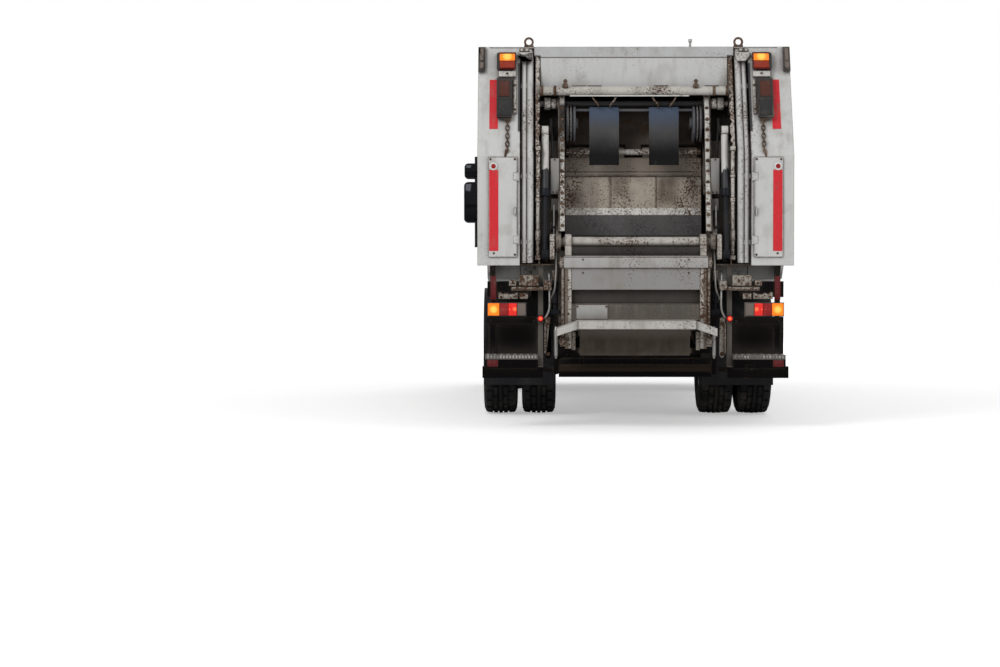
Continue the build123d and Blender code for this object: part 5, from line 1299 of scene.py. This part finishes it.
pipe("exhaustPipes", [[(0.66, 0.14, 0.70), (0.66, 0.30, 0.70), (0.44, 0.55, 0.66), (0.20, 0.90, 0.66),
                       (0.15, 1.50, 0.70)],
                      [(0.66, -0.28, 0.70), (0.66, -0.52, 0.70), (0.98, -0.60, 0.60)]],
     0.042, 0.08, "chassis", "rustIron", 5)
piece = Piece("tankStraps")
for y in (0.80, 1.40):
    piece.block((1.0795, 1.084), (y, y + 0.055), (0.53, 0.80))
    piece.block((0.565, 0.975), (y, y + 0.055), (0.8995, 0.904))
    piece.block((0.565, 0.975), (y, y + 0.055), (0.426, 0.4305))
piece.turned(((0, 0), (0, 0.060), (0.008, 0.064), (0.026, 0.062), (0.030, 0.05), (0.030, 0)),
             (0.98, 1.48, 0.928), (0, 0, 1), 32)
piece.block((-1.086, -1.0795), (1.20, 1.62), (0.53, 0.90))
for y in (1.26, 1.54):
    piece.block((-1.098, -1.084), (y - 0.02, y + 0.02), (0.84, 0.885))
piece.done("chassis", "galvanised", 0.002)

# Step treads: raised grips on every board, and the pierced edge of the rear boards
piece = Piece("stepGrips")
for piece.side in bothSides:
    for top in (0.400, 0.630, 0.860, 1.060):
        for x in [0.935 + 0.045 * step for step in range(5)]:
            for y in [3.09 + 0.06 * step for step in range(8)]:
                piece.rod((x, y, top - 0.001), (x, y, top + 0.004), 0.012, 6, 0.007)
piece.done("chassis", "darkSteel", 0)
piece = Piece("boardGrips")
for piece.side in bothSides:
    for x in [0.765 + 0.05 * step for step in range(8)]:
        for y in [-3.415 + 0.05 * step for step in range(6)]:
            piece.rod((x, y, 0.560), (x, y, 0.566), 0.014, 6, 0.009)
    for x in [0.752 + 0.024 * step for step in range(16)]:
        piece.block((x, x + 0.013), (-3.4435, -3.4395), (0.536, 0.557))
piece.done("tailgate", "galvanised", 0.0006, 1)
print("body and chassis dressed")


# Camera where the photograph was taken, the pale floor and the lamps
camera = {"place": (-0.766, -23.17, 1.32), "left": 0.76, "down": 1.73, "lens": 93.6}
bpy.ops.object.camera_add(location=camera["place"], rotation=(radians(90 - camera["down"]), 0,
                                                              radians(camera["left"])))
bpy.context.object.data.lens = camera["lens"]
bpy.context.object.data.clip_end = 200
bpy.context.scene.camera = bpy.context.object

floorGlow = {"near": 5, "far": 14, "under": 0.40, "added": 0.22}
floorPaint = Paint("floorPaint", (0.80, 0.80, 0.80), 0.9, Specular_IOR_Level=0.0)
floorPaint.shader.inputs["Emission Color"].default_value = (1, 1, 1, 1)
reach = floorPaint.add("ShaderNodeVectorMath", {"operation": "LENGTH"}, {0: floorPaint.place}, "Value")
distant = floorPaint.above(reach, floorGlow["near"], floorGlow["far"])
whiter = distant * floorGlow["added"] + floorGlow["under"]
floorPaint.give("Emission Strength", floorPaint.add("ShaderNodeLightPath", output="Is Camera Ray") * whiter)
clearSelection()
bpy.ops.mesh.primitive_plane_add(size=160, location=(0, 0, -0.002))
floor = bpy.context.object
floor.name = "studioFloor"
floor.data.materials.append(floorPaint.material)

world = bpy.data.worlds.new("studioWorld")
bpy.context.scene.world = world
world.use_nodes = True
sky = Paint.__new__(Paint)
sky.tree = world.node_tree
ambient = world.node_tree.nodes["Background"]
rays = [sky.add("ShaderNodeLightPath", output=name) for name in
        ("Is Camera Ray", "Is Glossy Ray", "Is Transmission Ray")]
seen = rays[0].most(rays[1]).most(rays[2])
skyLight = {"lighting": 0.56, "moreWhereSeen": 0.44}
strength = skyLight["lighting"] + seen * skyLight["moreWhereSeen"]
world.node_tree.links.new(strength.socket, ambient.inputs["Strength"])
ambient.inputs["Color"].default_value = (1, 1, 1, 1)

studioLamps = {
    # Name: place, aim, size, power
    "keyLamp": ((-7, -13, 9), (0, -3, 1.5), 5, 720),
    "fillLamp": ((9, -9, 5), (0, -3, 1.5), 7, 220),
    "frontLamp": ((4, 15, 9), (0, 2, 1.5), 8, 760),
}
for name, (place, aim, size, power) in studioLamps.items():
    turn = (Vector(aim) - Vector(place)).to_track_quat("-Z", "Y").to_euler()
    bpy.ops.object.light_add(type="AREA", location=place, rotation=turn)
    bpy.context.object.name = name
    bpy.context.object.data.size = size
    bpy.context.object.data.energy = power

bpy.context.scene.view_settings.view_transform = "Standard"
bpy.context.view_layer.update()
print("scene complete")
